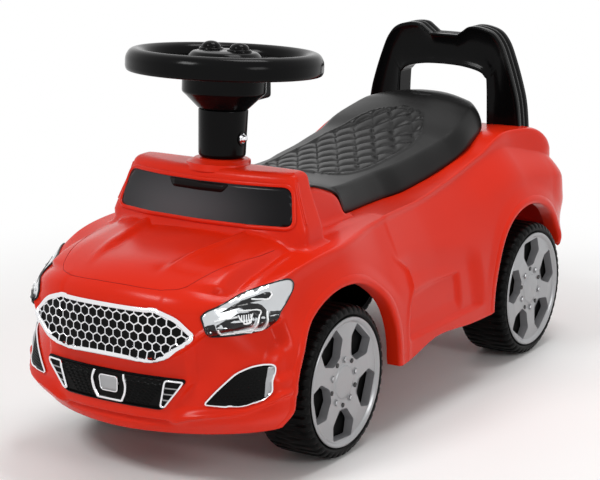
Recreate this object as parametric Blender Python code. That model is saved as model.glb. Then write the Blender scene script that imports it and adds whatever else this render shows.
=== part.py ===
"""A foot-powered ride-on car for small children, about 68 cm long, built piece by piece.

Metres, +Z up, the car faces -Y and its left side is +X. The origin is on the ground under the middle.
"""
import math

import bmesh
import bpy
from mathutils import Matrix, Vector

# Overall sizes
LENGTH = 0.6804
FRONT_OVERHANG = 0.1708
REAR_OVERHANG = 0.1321
BODY_HALF_WIDTH = 0.138
SHELL_WALL = 0.003
SEAT_GAP = 0.0003
RUN_GAP = 0.0008

# Wheels
TYRE_RADIUS = 0.069
TYRE_WIDTH = 0.054
RIM_RADIUS = 0.0585
WHEEL_FACE_X = 0.1335
HUB_RADIUS = 0.014
HUB_REACH = 0.0065
AXLE_RADIUS = 0.004
AXLE_BUSH_RADIUS = 0.0075
SPOKE_COUNT = 5
WHEEL_STEPS = 30

# Wheel arches
FRONT_ARCH_RADIUS = 0.088
REAR_ARCH_RADIUS = 0.090
ARCH_FLANGE = 0.012
ARCH_SPREAD = 0.010
ARCH_LEG = 0.060
ARCH_INNER_X = 0.085

# Body form
HOOD_HEIGHT = 0.198
NOSE_ROUNDING = 0.050
SIDE_ROUNDING = 0.018
TAIL_ROUNDING = 0.050
NOSE_STEPS = 11
FLANK_STEPS = 19
WALL_STEPS = 11

# Relief of the body: raised middle of the hood, bumper, corner pockets and door panels
HOOD_DROP = 0.0034
CREASE_RISE = 0.0011
BUMPER_DEPTH = 0.0016
POCKET_DEPTH = 0.0078
PANEL_DEPTH = 0.0055
FENDER_RISE = 0.0016

# Hump with the windscreen, shelf and column collar
SCUTTLE_RISE = 0.054
SCUTTLE_HALF_WIDTH = 0.104
SCUTTLE_TAPER = 0.020
SCREEN_BOW = 0.016
SHELF_INSET = 0.024
SHELF_RISE = 0.0355
TRIM_THICKNESS = 0.002
TRIM_GAP = 0.0005
COLLAR_HEIGHT = 0.010

# Inside of the body
RIB_WALL = 0.005
HANGER_X = 0.060
TOWER_X = 0.036
BEAM_TOP = 0.094
BEAM_THICKNESS = 0.012
BEAM_HALF_LENGTH = 0.074
BEAM_HALF_WIDTH = 0.022
BUSH_RADIUS = 0.012
BUSH_FLANGE = 0.0017

# Seat and storage
SEAT_BEAD_RADIUS = 0.004
SEAT_WALL = 0.003
TUB_DEPTH = 0.085
TUB_WALL = 0.0025
TUB_HALF_WIDTH = 0.048
TUB_FLANGE = 0.009
TUB_SLOPE = 0.062
HINGE_PIN_RADIUS = 0.0016
HINGE_PIN_HALF = 0.016
HINGE_LUG_X = 0.050
HINGE_LUG_WIDTH = 0.007

# Backrest
BACKREST_DEPTH = 0.025
BACKREST_RISE = 0.1295
BACKREST_INSET = 0.046
FOOT_INSET = 0.008
FOOT_WIDTH = 0.024

# Steering column and wheel
COLUMN_TILT = math.radians(4.0)
STEERING_LOCK_DEGREES = 30.0
KNUCKLE_LOCK_DEGREES = 18.0
SLEEVE_LENGTH = 0.043
SLEEVE_RADIUS = 0.0218
BOWL_DEPTH = 0.042
HUB_BOWL_RADIUS = 0.0375
STEERING_WHEEL_RADIUS = 0.088
GRIP_WIDTH = 0.019
GRIP_HEIGHT = 0.0205
SPOKE_BOTTOM = -0.006
SPOKE_TOP = 0.001
BUTTON_RADIUS = 0.0085
BUTTON_X = 0.015
ROD_RADIUS = 0.005
BOLT_RADIUS = 0.002
BOLT_HEAD_RADIUS = 0.0048
CRANK_HEIGHT = 0.0560
ROD_END = 0.0415

# Front axle
KING_PIN_X = 0.064
KING_PIN_RADIUS = 0.003
KNUCKLE_ARM = 0.030
KNUCKLE_BOTTOM = 0.0500
KNUCKLE_RADIUS = 0.0078
KNUCKLE_BOSS = 0.0082
ARM_TOP = 0.0565
STUD_RADIUS = 0.003
TIE_ROD_THICKNESS = 0.0035
SCREW_RADIUS = 0.0018
SCREW_Y = 0.013

# Derived places
NOSE_Y = -LENGTH / 2 + TRIM_GAP + TRIM_THICKNESS
TAIL_Y = LENGTH / 2
FRONT_AXLE_Y = NOSE_Y + FRONT_OVERHANG
REAR_AXLE_Y = TAIL_Y - REAR_OVERHANG
WHEELBASE = REAR_AXLE_Y - FRONT_AXLE_Y
REAR_ARCH_Y = REAR_AXLE_Y - 0.006
AXLE_HEIGHT = TYRE_RADIUS * math.cos(math.pi / WHEEL_STEPS)
AXLE_END_X = WHEEL_FACE_X - 0.0085
WHEEL_BACK_X = WHEEL_FACE_X - TYRE_WIDTH
COLUMN_Y = FRONT_AXLE_Y + 0.0039
SCUTTLE_REAR_Y = FRONT_AXLE_Y + 0.0119
DECK_FRONT_Y = SCUTTLE_REAR_Y + 0.057
SCUTTLE_HEIGHT = HOOD_HEIGHT + SCUTTLE_RISE
SHELF_HEIGHT = HOOD_HEIGHT + SHELF_RISE
SHELF_HALF_WIDTH = SCUTTLE_HALF_WIDTH - SHELF_INSET
SEAT_HALF_WIDTH = SHELF_HALF_WIDTH - 0.0005
SEAT_REAR_Y = REAR_AXLE_Y + 0.0349
SEAT_HINGE_Y = SCUTTLE_REAR_Y + SEAT_BEAD_RADIUS + 0.002
SEAT_HINGE_Z = SHELF_HEIGHT + SEAT_BEAD_RADIUS + 0.0005
TUB_FRONT_Y = SCUTTLE_REAR_Y + 0.110
TUB_REAR_Y = SEAT_REAR_Y - 0.123
BACKREST_FACE_Y = SEAT_REAR_Y + 0.010
BACKREST_TOP = HOOD_HEIGHT + BACKREST_RISE
BACKREST_HALF_WIDTH = BODY_HALF_WIDTH - BACKREST_INSET
FOOT_OUTER_X = BACKREST_HALF_WIDTH - FOOT_INSET
FOOT_INNER_X = FOOT_OUTER_X - FOOT_WIDTH
FOOT_BOTTOM = HOOD_HEIGHT + 0.008
SLEEVE_BOTTOM = SCUTTLE_HEIGHT + 0.004
BOWL_BOTTOM = SLEEVE_BOTTOM + SLEEVE_LENGTH
WHEEL_CENTRE_HEIGHT = BOWL_BOTTOM + BOWL_DEPTH
HUB_TOP = WHEEL_CENTRE_HEIGHT + 0.004
ROD_TOP = WHEEL_CENTRE_HEIGHT - 0.012
BOLT_HEIGHT = SLEEVE_BOTTOM + 0.018
COLLAR_RADIUS = SLEEVE_RADIUS + 0.0005
TOWER_RADIUS = SLEEVE_RADIUS + 0.0042
SEAT_NOTCH_RADIUS = TOWER_RADIUS + 0.008
CRANK_ARM = KNUCKLE_ARM * KNUCKLE_LOCK_DEGREES / STEERING_LOCK_DEGREES
KNUCKLE_TOP = BEAM_TOP - BEAM_THICKNESS - SEAT_GAP
TIE_ROD_TOP = KNUCKLE_BOTTOM - SEAT_GAP
LINK_Y = FRONT_AXLE_Y - KNUCKLE_ARM
SCREW_X = TOWER_X + 0.004
SIDES = ((1, "left"), (-1, "right"))
ARCHES = (("front", FRONT_AXLE_Y, FRONT_ARCH_RADIUS), ("rear", REAR_ARCH_Y, REAR_ARCH_RADIUS))


# Helpers

def clear_scene():
    for old in list(bpy.data.objects):
        bpy.data.objects.remove(old, do_unlink=True)


def material(name, colour, roughness, metallic=0.0):
    made = bpy.data.materials.new(name)
    made.use_nodes = True
    shader = made.node_tree.nodes["Principled BSDF"]
    shader.inputs["Base Color"].default_value = (*colour, 1.0)
    shader.inputs["Roughness"].default_value = roughness
    shader.inputs["Metallic"].default_value = metallic
    return made


def add_object(name, bm, finish=None, smooth_angle=35.0):
    """Makes an object of triangles from a bmesh, with its faces pointing out."""
    bmesh.ops.recalc_face_normals(bm, faces=bm.faces)
    bmesh.ops.triangulate(bm, faces=bm.faces, quad_method="FIXED")
    mesh = bpy.data.meshes.new(name)
    bm.to_mesh(mesh)
    bm.free()
    made = bpy.data.objects.new(name, mesh)
    bpy.context.collection.objects.link(made)
    mesh.shade_smooth()
    mesh.set_sharp_from_angle(angle=math.radians(smooth_angle))
    if finish:
        mesh.materials.append(finish)
    return made


def as_cutter(piece):
    piece.hide_render = True
    piece.display_type = "WIRE"
    return piece


def boolean(piece, operation, other):
    """Adds an exact Boolean modifier with a guide object as its operand."""
    change = piece.modifiers.new(operation.lower(), "BOOLEAN")
    change.operation = operation
    change.object = as_cutter(other)


def monotone(keys, t):
    """A smooth curve through (place, value) keys that never overshoots them."""
    if t <= keys[0][0]:
        return keys[0][1]
    if t >= keys[-1][0]:
        return keys[-1][1]
    slopes = [(b[1] - a[1]) / (b[0] - a[0]) for a, b in zip(keys, keys[1:])]
    tangents = [slopes[0]]
    for before, after in zip(slopes, slopes[1:]):
        tangents.append(2 * before * after / (before + after) if before * after > 0 else 0.0)
    tangents.append(slopes[-1])
    index = max(i for i, key in enumerate(keys[:-1]) if key[0] <= t)
    start, end = keys[index], keys[index + 1]
    span = end[0] - start[0]
    s = (t - start[0]) / span
    return (start[1] * (1 + 2 * s) * (1 - s) ** 2 + tangents[index] * span * s * (1 - s) ** 2
            + end[1] * s * s * (3 - 2 * s) - tangents[index + 1] * span * s * s * (1 - s))


def smoothstep(low, high, value):
    t = min(max((value - low) / (high - low), 0.0), 1.0)
    return t * t * (3 - 2 * t)


def prism(bm, outline, lift):
    """A closed straight extrusion: outline points moved by the vector lift."""
    low = [bm.verts.new(p) for p in outline]
    high = [bm.verts.new(Vector(p) + Vector(lift)) for p in outline]
    count = len(low)
    bm.faces.new(low)
    bm.faces.new(list(reversed(high)))
    for i in range(count):
        bm.faces.new((low[i], low[(i + 1) % count], high[(i + 1) % count], high[i]))


def loft(bm, rings, close_ends=True):
    """Skins a list of equally long closed rings of points."""
    rows = [[bm.verts.new(p) for p in ring] for ring in rings]
    count = len(rows[0])
    for low, high in zip(rows, rows[1:]):
        for i in range(count):
            bm.faces.new((low[i], low[(i + 1) % count], high[(i + 1) % count], high[i]))
    if close_ends:
        bm.faces.new(list(reversed(rows[0])))
        bm.faces.new(rows[-1])
    return rows


def turned(bm, profile, axis_point, axis, steps):
    """A closed turned solid: profile is a closed list of (along, radius) round the axis."""
    axis = Vector(axis).normalized()
    side = axis.cross(Vector((0, 0, 1) if abs(axis.z) < 0.9 else (0, 1, 0))).normalized()
    other = axis.cross(side)
    rings = []
    for along, radius in profile:
        centre = Vector(axis_point) + axis * along
        if radius < 1e-6:
            rings.append([bm.verts.new(centre)])
            continue
        ring = []
        for i in range(steps):
            angle = 2 * math.pi * i / steps
            ring.append(bm.verts.new(centre + radius * (side * math.cos(angle) + other * math.sin(angle))))
        rings.append(ring)
    for low, high in zip(rings, rings[1:] + rings[:1]):
        if len(low) == 1 and len(high) == 1:
            continue
        for i in range(steps):
            j = (i + 1) % steps
            if len(low) == 1:
                bm.faces.new((low[0], high[j], high[i]))
            elif len(high) == 1:
                bm.faces.new((low[i], low[j], high[0]))
            else:
                bm.faces.new((low[i], low[j], high[j], high[i]))


def turned_object(name, profile, axis_point, axis, steps, finish=None):
    bm = bmesh.new()
    turned(bm, profile, axis_point, axis, steps)
    return add_object(name, bm, finish)


def box_object(name, low, high, finish=None):
    bm = bmesh.new()
    outline = [(low[0], low[1], low[2]), (high[0], low[1], low[2]),
               (high[0], high[1], low[2]), (low[0], high[1], low[2])]
    prism(bm, outline, (0, 0, high[2] - low[2]))
    return add_object(name, bm, finish)


def rod_object(name, start, end, radius, steps, finish=None):
    """A straight round rod between two points."""
    axis = Vector(end) - Vector(start)
    return turned_object(name, [(0, 0), (0, radius), (axis.length, radius), (axis.length, 0)],
                         start, axis, steps, finish)


def rounded_rectangle(half_x, half_y, corner, steps=4):
    """Points of a rectangle with round corners, counter-clockwise round the origin."""
    points = []
    for quarter, (sx, sy) in enumerate(((1, 1), (-1, 1), (-1, -1), (1, -1))):
        for i in range(steps + 1):
            angle = math.pi / 2 * (quarter + i / steps)
            points.append((sx * (half_x - corner) + corner * math.cos(angle),
                           sy * (half_y - corner) + corner * math.sin(angle)))
    return points


# Body surface

FLANK_PLACES = (FRONT_AXLE_Y - 0.078, FRONT_AXLE_Y, FRONT_AXLE_Y + 0.227 * WHEELBASE,
                FRONT_AXLE_Y + 0.493 * WHEELBASE, FRONT_AXLE_Y + 0.739 * WHEELBASE, REAR_AXLE_Y,
                REAR_AXLE_Y + 0.055)

# Each rail runs round the car at one share of the wall's height: how far it stands in from the
# widest line at the flank places, its nose and tail set back, and the squareness of both ends.
RAILS = (
    {"share": 0.00, "inset": (0.012, 0.001, 0.000, 0.000, 0.001, 0.010, 0.012),
     "nose": 0.014, "nose_power": 1.8, "tail": 0.010, "tail_power": 2.6},
    {"share": 0.17, "inset": (0.003, 0.000, 0.000, 0.001, 0.002, 0.008, 0.009),
     "nose": 0.007, "nose_power": 2.2, "tail": 0.001, "tail_power": 3.2},
    {"share": 0.45, "inset": (0.004, 0.000, 0.001, 0.006, 0.006, 0.007, 0.010),
     "nose": 0.004, "nose_power": 2.3, "tail": 0.000, "tail_power": 3.2},
    {"share": 0.76, "inset": (0.007, 0.003, 0.013, 0.021, 0.020, 0.016, 0.019),
     "nose": 0.000, "nose_power": 2.3, "tail": 0.010, "tail_power": 3.0},
    {"share": 1.00, "inset": (0.013, 0.010, 0.026, 0.036, 0.039, 0.038, 0.040),
     "nose": 0.001, "nose_power": 2.3, "tail": 0.026, "tail_power": 2.8},
)

HEM_HEIGHTS = ((NOSE_Y, 0.050), (FRONT_AXLE_Y - 0.078, 0.052), (FRONT_AXLE_Y + 0.100, 0.061),
               (FRONT_AXLE_Y + 0.440 * WHEELBASE, 0.072), (FRONT_AXLE_Y + 0.619 * WHEELBASE, 0.067),
               (FRONT_AXLE_Y + 0.707 * WHEELBASE, 0.066), (REAR_AXLE_Y, 0.080), (REAR_AXLE_Y + 0.076, 0.097),
               (TAIL_Y, 0.099))

CENTRE_HEIGHTS = ((NOSE_Y, HOOD_HEIGHT - 0.014), (NOSE_Y + 0.040, HOOD_HEIGHT - 0.007),
                  (NOSE_Y + 0.090, HOOD_HEIGHT - 0.002), (NOSE_Y + 0.145, HOOD_HEIGHT + 0.002),
                  (DECK_FRONT_Y, HOOD_HEIGHT), (NOSE_Y + 0.500 * LENGTH, HOOD_HEIGHT),
                  (NOSE_Y + 0.604 * LENGTH, HOOD_HEIGHT + 0.004), (NOSE_Y + 0.707 * LENGTH, HOOD_HEIGHT + 0.014),
                  (NOSE_Y + 0.796 * LENGTH, HOOD_HEIGHT + 0.027), (NOSE_Y + 0.870 * LENGTH, HOOD_HEIGHT + 0.027),
                  (NOSE_Y + 0.944 * LENGTH, HOOD_HEIGHT + 0.018), (TAIL_Y, HOOD_HEIGHT + 0.008))

SIDE_HEIGHTS = ((NOSE_Y, HOOD_HEIGHT - 0.024), (NOSE_Y + 0.040, HOOD_HEIGHT - 0.018),
                (NOSE_Y + 0.090, HOOD_HEIGHT - 0.010), (NOSE_Y + 0.145, HOOD_HEIGHT - 0.005),
                (DECK_FRONT_Y, HOOD_HEIGHT - 0.003), (NOSE_Y + 0.500 * LENGTH, HOOD_HEIGHT - 0.0035),
                (NOSE_Y + 0.604 * LENGTH, HOOD_HEIGHT + 0.0035), (NOSE_Y + 0.707 * LENGTH, HOOD_HEIGHT + 0.017),
                (NOSE_Y + 0.796 * LENGTH, HOOD_HEIGHT + 0.032), (NOSE_Y + 0.870 * LENGTH, HOOD_HEIGHT + 0.029),
                (NOSE_Y + 0.944 * LENGTH, HOOD_HEIGHT + 0.015), (TAIL_Y, HOOD_HEIGHT + 0.004))

EDGE_DROPS = ((NOSE_Y, 0.022), (NOSE_Y + 0.060, 0.016), (NOSE_Y + 0.140, 0.010), (DECK_FRONT_Y, 0.006),
              (TAIL_Y - 0.200, 0.006), (TAIL_Y - 0.140, 0.014), (TAIL_Y - 0.050, 0.030), (TAIL_Y, 0.034))

# Lines of the relief: places and heights are measured from the nose, front axle, hump and hood
CREASE_LINE = ((-0.110, 0.041), (-0.085, 0.045), (-0.050, 0.050), (-0.030, 0.053))
LIP_LINE = ((0.000, -0.0812), (0.052, -0.0775), (0.067, -0.0715), (0.081, -0.0614), (0.092, -0.0525),
            (0.109, -0.0505), (0.130, -0.0560))
RIB_LINE = ((0.062, 0.108), (0.096, 0.107), (0.115, 0.110), (0.130, 0.117), (0.143, 0.118), (0.158, 0.103))
PANEL_TOP = ((0.107, -0.048), (0.131, -0.046), (0.174, -0.050), (0.213, -0.055), (0.249, -0.062))


def rail_width(rail, y):
    insets = list(zip(FLANK_PLACES, rail["inset"]))
    return BODY_HALF_WIDTH - monotone(insets, y)


def rail_point(rail, u):
    """The plan point of a rail: u runs 0 to 1 round the nose, 1 to 2 along the flank, 2 to 3 round the tail."""
    first, last = FLANK_PLACES[0], FLANK_PLACES[-1]
    if u <= 1:
        angle = u * math.pi / 2
        power = 2 / rail["nose_power"]
        reach = first - (NOSE_Y + rail["nose"])
        return (rail_width(rail, first) * math.sin(angle) ** power, first - reach * max(math.cos(angle), 0) ** power)
    if u <= 2:
        y = first + (last - first) * (u - 1)
        return rail_width(rail, y), y
    angle = (3 - u) * math.pi / 2
    power = 2 / rail["tail_power"]
    reach = (TAIL_Y - rail["tail"]) - last
    return rail_width(rail, last) * math.sin(angle) ** power, last + reach * max(math.cos(angle), 0) ** power


def deck_height(x, y):
    """The height of the hood and deck before their edges are rounded."""
    side = rail_width(RAILS[-1], min(max(y, FLANK_PLACES[0]), FLANK_PLACES[-1]))
    across = smoothstep(0.0, side, abs(x))
    return monotone(CENTRE_HEIGHTS, y) * (1 - across) + monotone(SIDE_HEIGHTS, y) * across


def edge_rounding(front, side, rear):
    """Runs from 1 on the edge of the deck to 0 inside it."""
    shares = [min(max(d, 0.0), 1.0) for d in (front / NOSE_ROUNDING, side / SIDE_ROUNDING, rear / TAIL_ROUNDING)]
    inside = 1.0
    for share in shares:
        inside *= math.sqrt(max(1 - (1 - share) ** 2, 0.0))
    return 1 - inside


def deck_point(across, along):
    """A point of the top: across runs 0 at the middle to 1 at the flank, along 0 at the nose to 1 at the tail."""
    top = RAILS[-1]
    front = rail_point(top, across)
    rear = rail_point(top, 3 - across)
    side = rail_point(top, 1 + along)
    first = rail_point(top, 1)
    last = rail_point(top, 2)
    nose = rail_point(top, 0)
    tail = rail_point(top, 3)
    centre = (0.0, nose[1] + (tail[1] - nose[1]) * along)
    x, y = [(1 - along) * front[k] + along * rear[k] + (1 - across) * centre[k] + across * side[k]
            - (1 - along) * ((1 - across) * nose[k] + across * first[k])
            - along * ((1 - across) * tail[k] + across * last[k]) for k in (0, 1)]
    distance_side = max(side[0] * (1 - across), 0.0)
    rounding = edge_rounding(y - front[1] if along > 0 else 0.0, distance_side, rear[1] - y if along < 1 else 0.0)
    return Vector((x, y, deck_height(x, y) - monotone(EDGE_DROPS, y) * rounding))


def hood_relief(x, y):
    """The hood's middle lies lower than the creases on both sides of it."""
    line = monotone(CREASE_LINE, y - SCUTTLE_REAR_Y)
    fade = smoothstep(NOSE_Y + 0.020, NOSE_Y + 0.075, y) * (1 - smoothstep(0.005, 0.035, y - SCUTTLE_REAR_Y))
    shoulder = smoothstep(line - 0.008, line, x) * (1 - smoothstep(0.064, 0.094, x))
    crest = math.exp(-((x - line - 0.001) / 0.0045) ** 2)
    return fade * (HOOD_DROP * shoulder + CREASE_RISE * crest)


def nose_relief(x, z):
    """The bumper lies behind the lip under the grille, and a pocket at each corner goes deeper."""
    lip = HOOD_HEIGHT + monotone(LIP_LINE, x)
    below = smoothstep(lip + 0.001, lip - 0.0055, z) * smoothstep(0.0715, 0.0800, z)
    edge = 0.0545 + min(max((z - 0.0727) * 0.76, 0.0), 0.0200)
    pocket = smoothstep(edge - 0.002, edge + 0.006, x) * (1 - smoothstep(0.1255, 0.1325, x))
    bumper = BUMPER_DEPTH * (1 - pocket) * smoothstep(0.100, 0.112, z)
    corner = pocket * (BUMPER_DEPTH + (POCKET_DEPTH - BUMPER_DEPTH) * smoothstep(0.074, 0.118, z))
    return -(bumper + corner) * below


def flank_relief(y, z):
    """The door panel is pressed in behind the raised edge of the front fender."""
    along = y - FRONT_AXLE_Y
    rib = monotone(RIB_LINE, z)
    front = smoothstep(rib - 0.001, rib + 0.005, along)
    rear = 1 - smoothstep(REAR_AXLE_Y - 0.148, REAR_AXLE_Y - 0.104, y + 0.10 * (z - 0.10))
    top = HOOD_HEIGHT + monotone(PANEL_TOP, along)
    panel = front * rear * smoothstep(0.079, 0.084, z) * (1 - smoothstep(top - 0.014, top + 0.012, z))
    crest = math.exp(-((along - rib + 0.003) / 0.0035) ** 2) * smoothstep(0.058, 0.066, z)
    return FENDER_RISE * crest * (1 - smoothstep(0.135, 0.160, z)) - PANEL_DEPTH * panel


def relief(point, normal):
    """How far the surface stands out from the plain form at one of its points."""
    x, y, z = abs(point.x), point.y, point.z
    up = smoothstep(0.45, 0.75, normal.z)
    if normal.z < -0.5:
        return 0.0
    nose = smoothstep(NOSE_Y + 0.090, NOSE_Y + 0.075, y)
    side = (1 - nose) * flank_relief(y, z) + nose * nose_relief(x, z)
    return up * hood_relief(x, y) + (1 - up) * side


def wall_point(u, share):
    """A point of the side wall: share runs 0 at the hem to 1 at the deck's edge."""
    points = [rail_point(rail, u) for rail in RAILS]
    shares = [rail["share"] for rail in RAILS]
    x = monotone(list(zip(shares, [p[0] for p in points])), share)
    y = monotone(list(zip(shares, [p[1] for p in points])), share)
    if u <= 1:
        top = deck_point(u, 0.0)
    elif u <= 2:
        top = deck_point(1.0, u - 1)
    else:
        top = deck_point(3 - u, 1.0)
    low = monotone(HEM_HEIGHTS, y)
    return Vector((max(x, 0.0), y, low + (top[2] - low) * share))


def body_columns():
    """The columns of the wall, from the nose's middle to the tail's middle."""
    ends = [i / NOSE_STEPS for i in range(NOSE_STEPS)]
    flank = [1 + i / FLANK_STEPS for i in range(FLANK_STEPS)]
    return ends + flank + [2 + i / NOSE_STEPS for i in range(NOSE_STEPS + 1)]


def body_solid(name, drop):
    """The closed body form, without wheel arches; drop lowers its underside."""
    bm = bmesh.new()
    columns = body_columns()
    last = len(columns) - 1

    def on_centre(index):
        return index in (0, last)

    sides = {}
    for sign in (1, -1):
        grid = []
        for index, u in enumerate(columns):
            column = []
            for row in range(-1, WALL_STEPS + 1):
                if sign < 0 and on_centre(index):
                    column.append(sides[1][index][row + 1])
                    continue
                point = wall_point(u, max(row, 0) / WALL_STEPS)
                if row < 0:
                    point.z -= drop
                if on_centre(index):
                    point.x = 0.0
                column.append(bm.verts.new((sign * point.x, point.y, point.z)))
            grid.append(column)
        sides[sign] = grid
        for left, right in zip(grid, grid[1:]):
            for row in range(WALL_STEPS + 1):
                quad = (left[row], right[row], right[row + 1], left[row + 1])
                bm.faces.new(quad if sign > 0 else tuple(reversed(quad)))
    tops = {}
    for sign in (1, -1):
        grid = []
        for i in range(NOSE_STEPS + 1):
            line = []
            for j in range(FLANK_STEPS + 1):
                if i == 0 and sign < 0:
                    line.append(tops[1][0][j])
                elif j == 0:
                    line.append(sides[sign][i][-1])
                elif j == FLANK_STEPS:
                    line.append(sides[sign][last - i][-1])
                elif i == NOSE_STEPS:
                    line.append(sides[sign][NOSE_STEPS + j][-1])
                else:
                    point = deck_point(i / NOSE_STEPS, j / FLANK_STEPS)
                    line.append(bm.verts.new((sign * point.x, point.y, point.z)))
            grid.append(line)
        tops[sign] = grid
        for i in range(NOSE_STEPS):
            for j in range(FLANK_STEPS):
                quad = (grid[i][j], grid[i + 1][j], grid[i + 1][j + 1], grid[i][j + 1])
                bm.faces.new(quad if sign > 0 else tuple(reversed(quad)))
    left, right = sides[1], sides[-1]
    for i in range(last):
        corners = (left[i][0], right[i][0], right[i + 1][0], left[i + 1][0])
        unique = list(dict.fromkeys(corners))
        bm.faces.new(unique)
    bmesh.ops.recalc_face_normals(bm, faces=bm.faces)
    bm.normal_update()
    for vertex, height in [(v, relief(v.co, v.normal)) for v in bm.verts]:
        vertex.co += vertex.normal * height
    return add_object(name, bm)


def shrink(piece, distance):
    """Moves every point of a closed mesh inwards along its normal."""
    mesh = piece.data
    normals = [Vector(n.vector) for n in mesh.vertex_normals]
    for vertex, normal in zip(mesh.vertices, normals):
        vertex.co = vertex.co - normal * distance


def hump_ring(half_x, half_y, corner):
    """The hump's plan: a rectangle with round corners and more points along its bowed front."""
    points = rounded_rectangle(half_x, half_y, corner, 3)
    straight = half_x - corner
    bowed = [(straight * (i / 3 - 1), -half_y) for i in range(1, 6)]
    half = len(points) * 3 // 4
    return points[:half] + bowed + points[half:]


def hump_solid(name, inset, foot):
    """The hump that carries the windscreen and the steering column; foot is its lowest height."""
    # Height, half width, depth from the hump's rear
    levels = ((foot, SCUTTLE_HALF_WIDTH + 0.003, 0.041),
              (HOOD_HEIGHT + 0.004, SCUTTLE_HALF_WIDTH, 0.035),
              (HOOD_HEIGHT + 0.37 * SCUTTLE_RISE, SCUTTLE_HALF_WIDTH - 0.006, 0.031),
              (HOOD_HEIGHT + 0.69 * SCUTTLE_RISE, SCUTTLE_HALF_WIDTH - 0.013, 0.027),
              (SCUTTLE_HEIGHT - 0.004, SCUTTLE_HALF_WIDTH - SCUTTLE_TAPER + 0.003, 0.024),
              (SCUTTLE_HEIGHT, SCUTTLE_HALF_WIDTH - SCUTTLE_TAPER - 0.003, 0.019))
    bm = bmesh.new()
    rings = []
    for height, half, depth in levels:
        half_y = depth / 2
        ring = []
        for x, y in hump_ring(half - inset, half_y - inset, half_y * 0.45):
            bow = SCREEN_BOW * (1 - (x / half) ** 2) * smoothstep(half_y, -half_y, y)
            ring.append((x, SCUTTLE_REAR_Y - half_y + y - bow, min(height, SCUTTLE_HEIGHT) - inset))
        rings.append(ring)
    loft(bm, rings)
    return add_object(name, bm)


SHELF_PROFILE = ((-0.004, 0.000), (0.018, 0.000), (0.030, -0.0025), (0.044, -0.0075), (0.053, -0.011),
                 (0.061, -0.0165), (0.0665, -0.0235), (0.071, -0.030), (0.0755, -0.036), (0.078, -0.0455))


def shelf_solid(name, inset, foot):
    """The rounded step behind the hump, on which the front of the seat lies."""
    bm = bmesh.new()
    profile = [(SCUTTLE_REAR_Y + y - (0 if y < 0 else inset), SHELF_HEIGHT + z - inset) for y, z in SHELF_PROFILE]
    profile[0] = (SCUTTLE_REAR_Y - 0.012, SHELF_HEIGHT - inset)
    profile.append((profile[-1][0], foot))
    profile.append((profile[0][0], foot))
    half = SHELF_HALF_WIDTH - inset
    rings = []
    for x, cut in ((-half, 0.004), (-half + 0.004, 0.0), (half - 0.004, 0.0), (half, 0.004)):
        rings.append([(x, y, z - (cut if z > foot else 0.0)) for y, z in profile])
    loft(bm, rings)
    return add_object(name, bm)


def tower_solid(name, inset, foot):
    """The round tower at the back of the hump, under the steering column."""
    radius = TOWER_RADIUS - inset
    low = along_column(foot)
    high = along_column(SCUTTLE_HEIGHT - inset)
    profile = [(low, 0), (low, radius), (high - 0.002, radius), (high, radius - 0.002), (high, 0)]
    return turned_object(name, profile, column_point(SLEEVE_BOTTOM), column_axis(), 28)


def body_form(name, inflate):
    """The closed outer form of the body, hump, shelf and tower, made bigger by a clearance."""
    form = body_solid(name, 0.0)
    shrink(form, -inflate)
    boolean(form, "UNION", hump_solid(name + "_hump", -inflate, HOOD_HEIGHT - 0.014))
    boolean(form, "UNION", shelf_solid(name + "_shelf", -inflate, HOOD_HEIGHT - 0.018))
    boolean(form, "UNION", tower_solid(name + "_tower", -inflate, HOOD_HEIGHT - 0.016))
    return as_cutter(form)


def arch_outline(y, radius, steps=20):
    """The side view of a wheel arch: a round top whose legs open out towards the ground."""
    points = []
    for i in range(steps + 1):
        angle = math.pi * i / steps
        points.append((y - radius * math.cos(angle), AXLE_HEIGHT + radius * math.sin(angle)))
    points.append((y + radius + ARCH_SPREAD, AXLE_HEIGHT - ARCH_LEG))
    points.append((y - radius - ARCH_SPREAD, AXLE_HEIGHT - ARCH_LEG))
    return points


def arch_cutter(name, y, radius, inner_x, side):
    bm = bmesh.new()
    outline = [(side * inner_x, py, pz) for py, pz in arch_outline(y, radius)]
    prism(bm, outline, (side * 0.09, 0, 0))
    return add_object(name, bm)


def body_shell(red):
    """The moulded shell, open underneath, with its hump, arches, flanges, ribs and openings."""
    outer = body_solid("body_shell", 0.0)
    outer.data.materials.append(red)
    boolean(outer, "UNION", hump_solid("hump_form", 0.0, HOOD_HEIGHT - 0.014))
    boolean(outer, "UNION", shelf_solid("shelf_form", 0.0, HOOD_HEIGHT - 0.018))
    boolean(outer, "UNION", tower_solid("tower_form", 0.0, HOOD_HEIGHT - 0.016))
    collar_base = column_point(SCUTTLE_HEIGHT - 0.008)
    collar = [(0, 0), (0, COLLAR_RADIUS + 0.002), (0.0095, COLLAR_RADIUS), (COLLAR_HEIGHT, COLLAR_RADIUS - 0.001),
              (COLLAR_HEIGHT, 0)]
    boolean(outer, "UNION", turned_object("collar_form", collar, collar_base, column_axis(), 28))

    cavity = body_solid("body_cavity", 0.04)
    shrink(cavity, SHELL_WALL)
    boolean(cavity, "UNION", hump_solid("hump_cavity", SHELL_WALL, HOOD_HEIGHT - 0.022))
    boolean(cavity, "UNION", shelf_solid("shelf_cavity", SHELL_WALL, HOOD_HEIGHT - 0.026))
    boolean(cavity, "UNION", tower_solid("tower_cavity", SHELL_WALL, HOOD_HEIGHT - 0.024))
    for rib in body_ribs():
        boolean(cavity, "DIFFERENCE", rib)
    boolean(outer, "DIFFERENCE", cavity)
    for side, word in SIDES:
        for place, y, radius in ARCHES:
            boolean(outer, "DIFFERENCE", arch_cutter(f"arch_{place}_{word}", y, radius, ARCH_INNER_X, side))
    for lug in hinge_lugs():
        boolean(outer, "UNION", lug)
    for opening in body_openings():
        boolean(outer, "DIFFERENCE", opening)
    return outer


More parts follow.
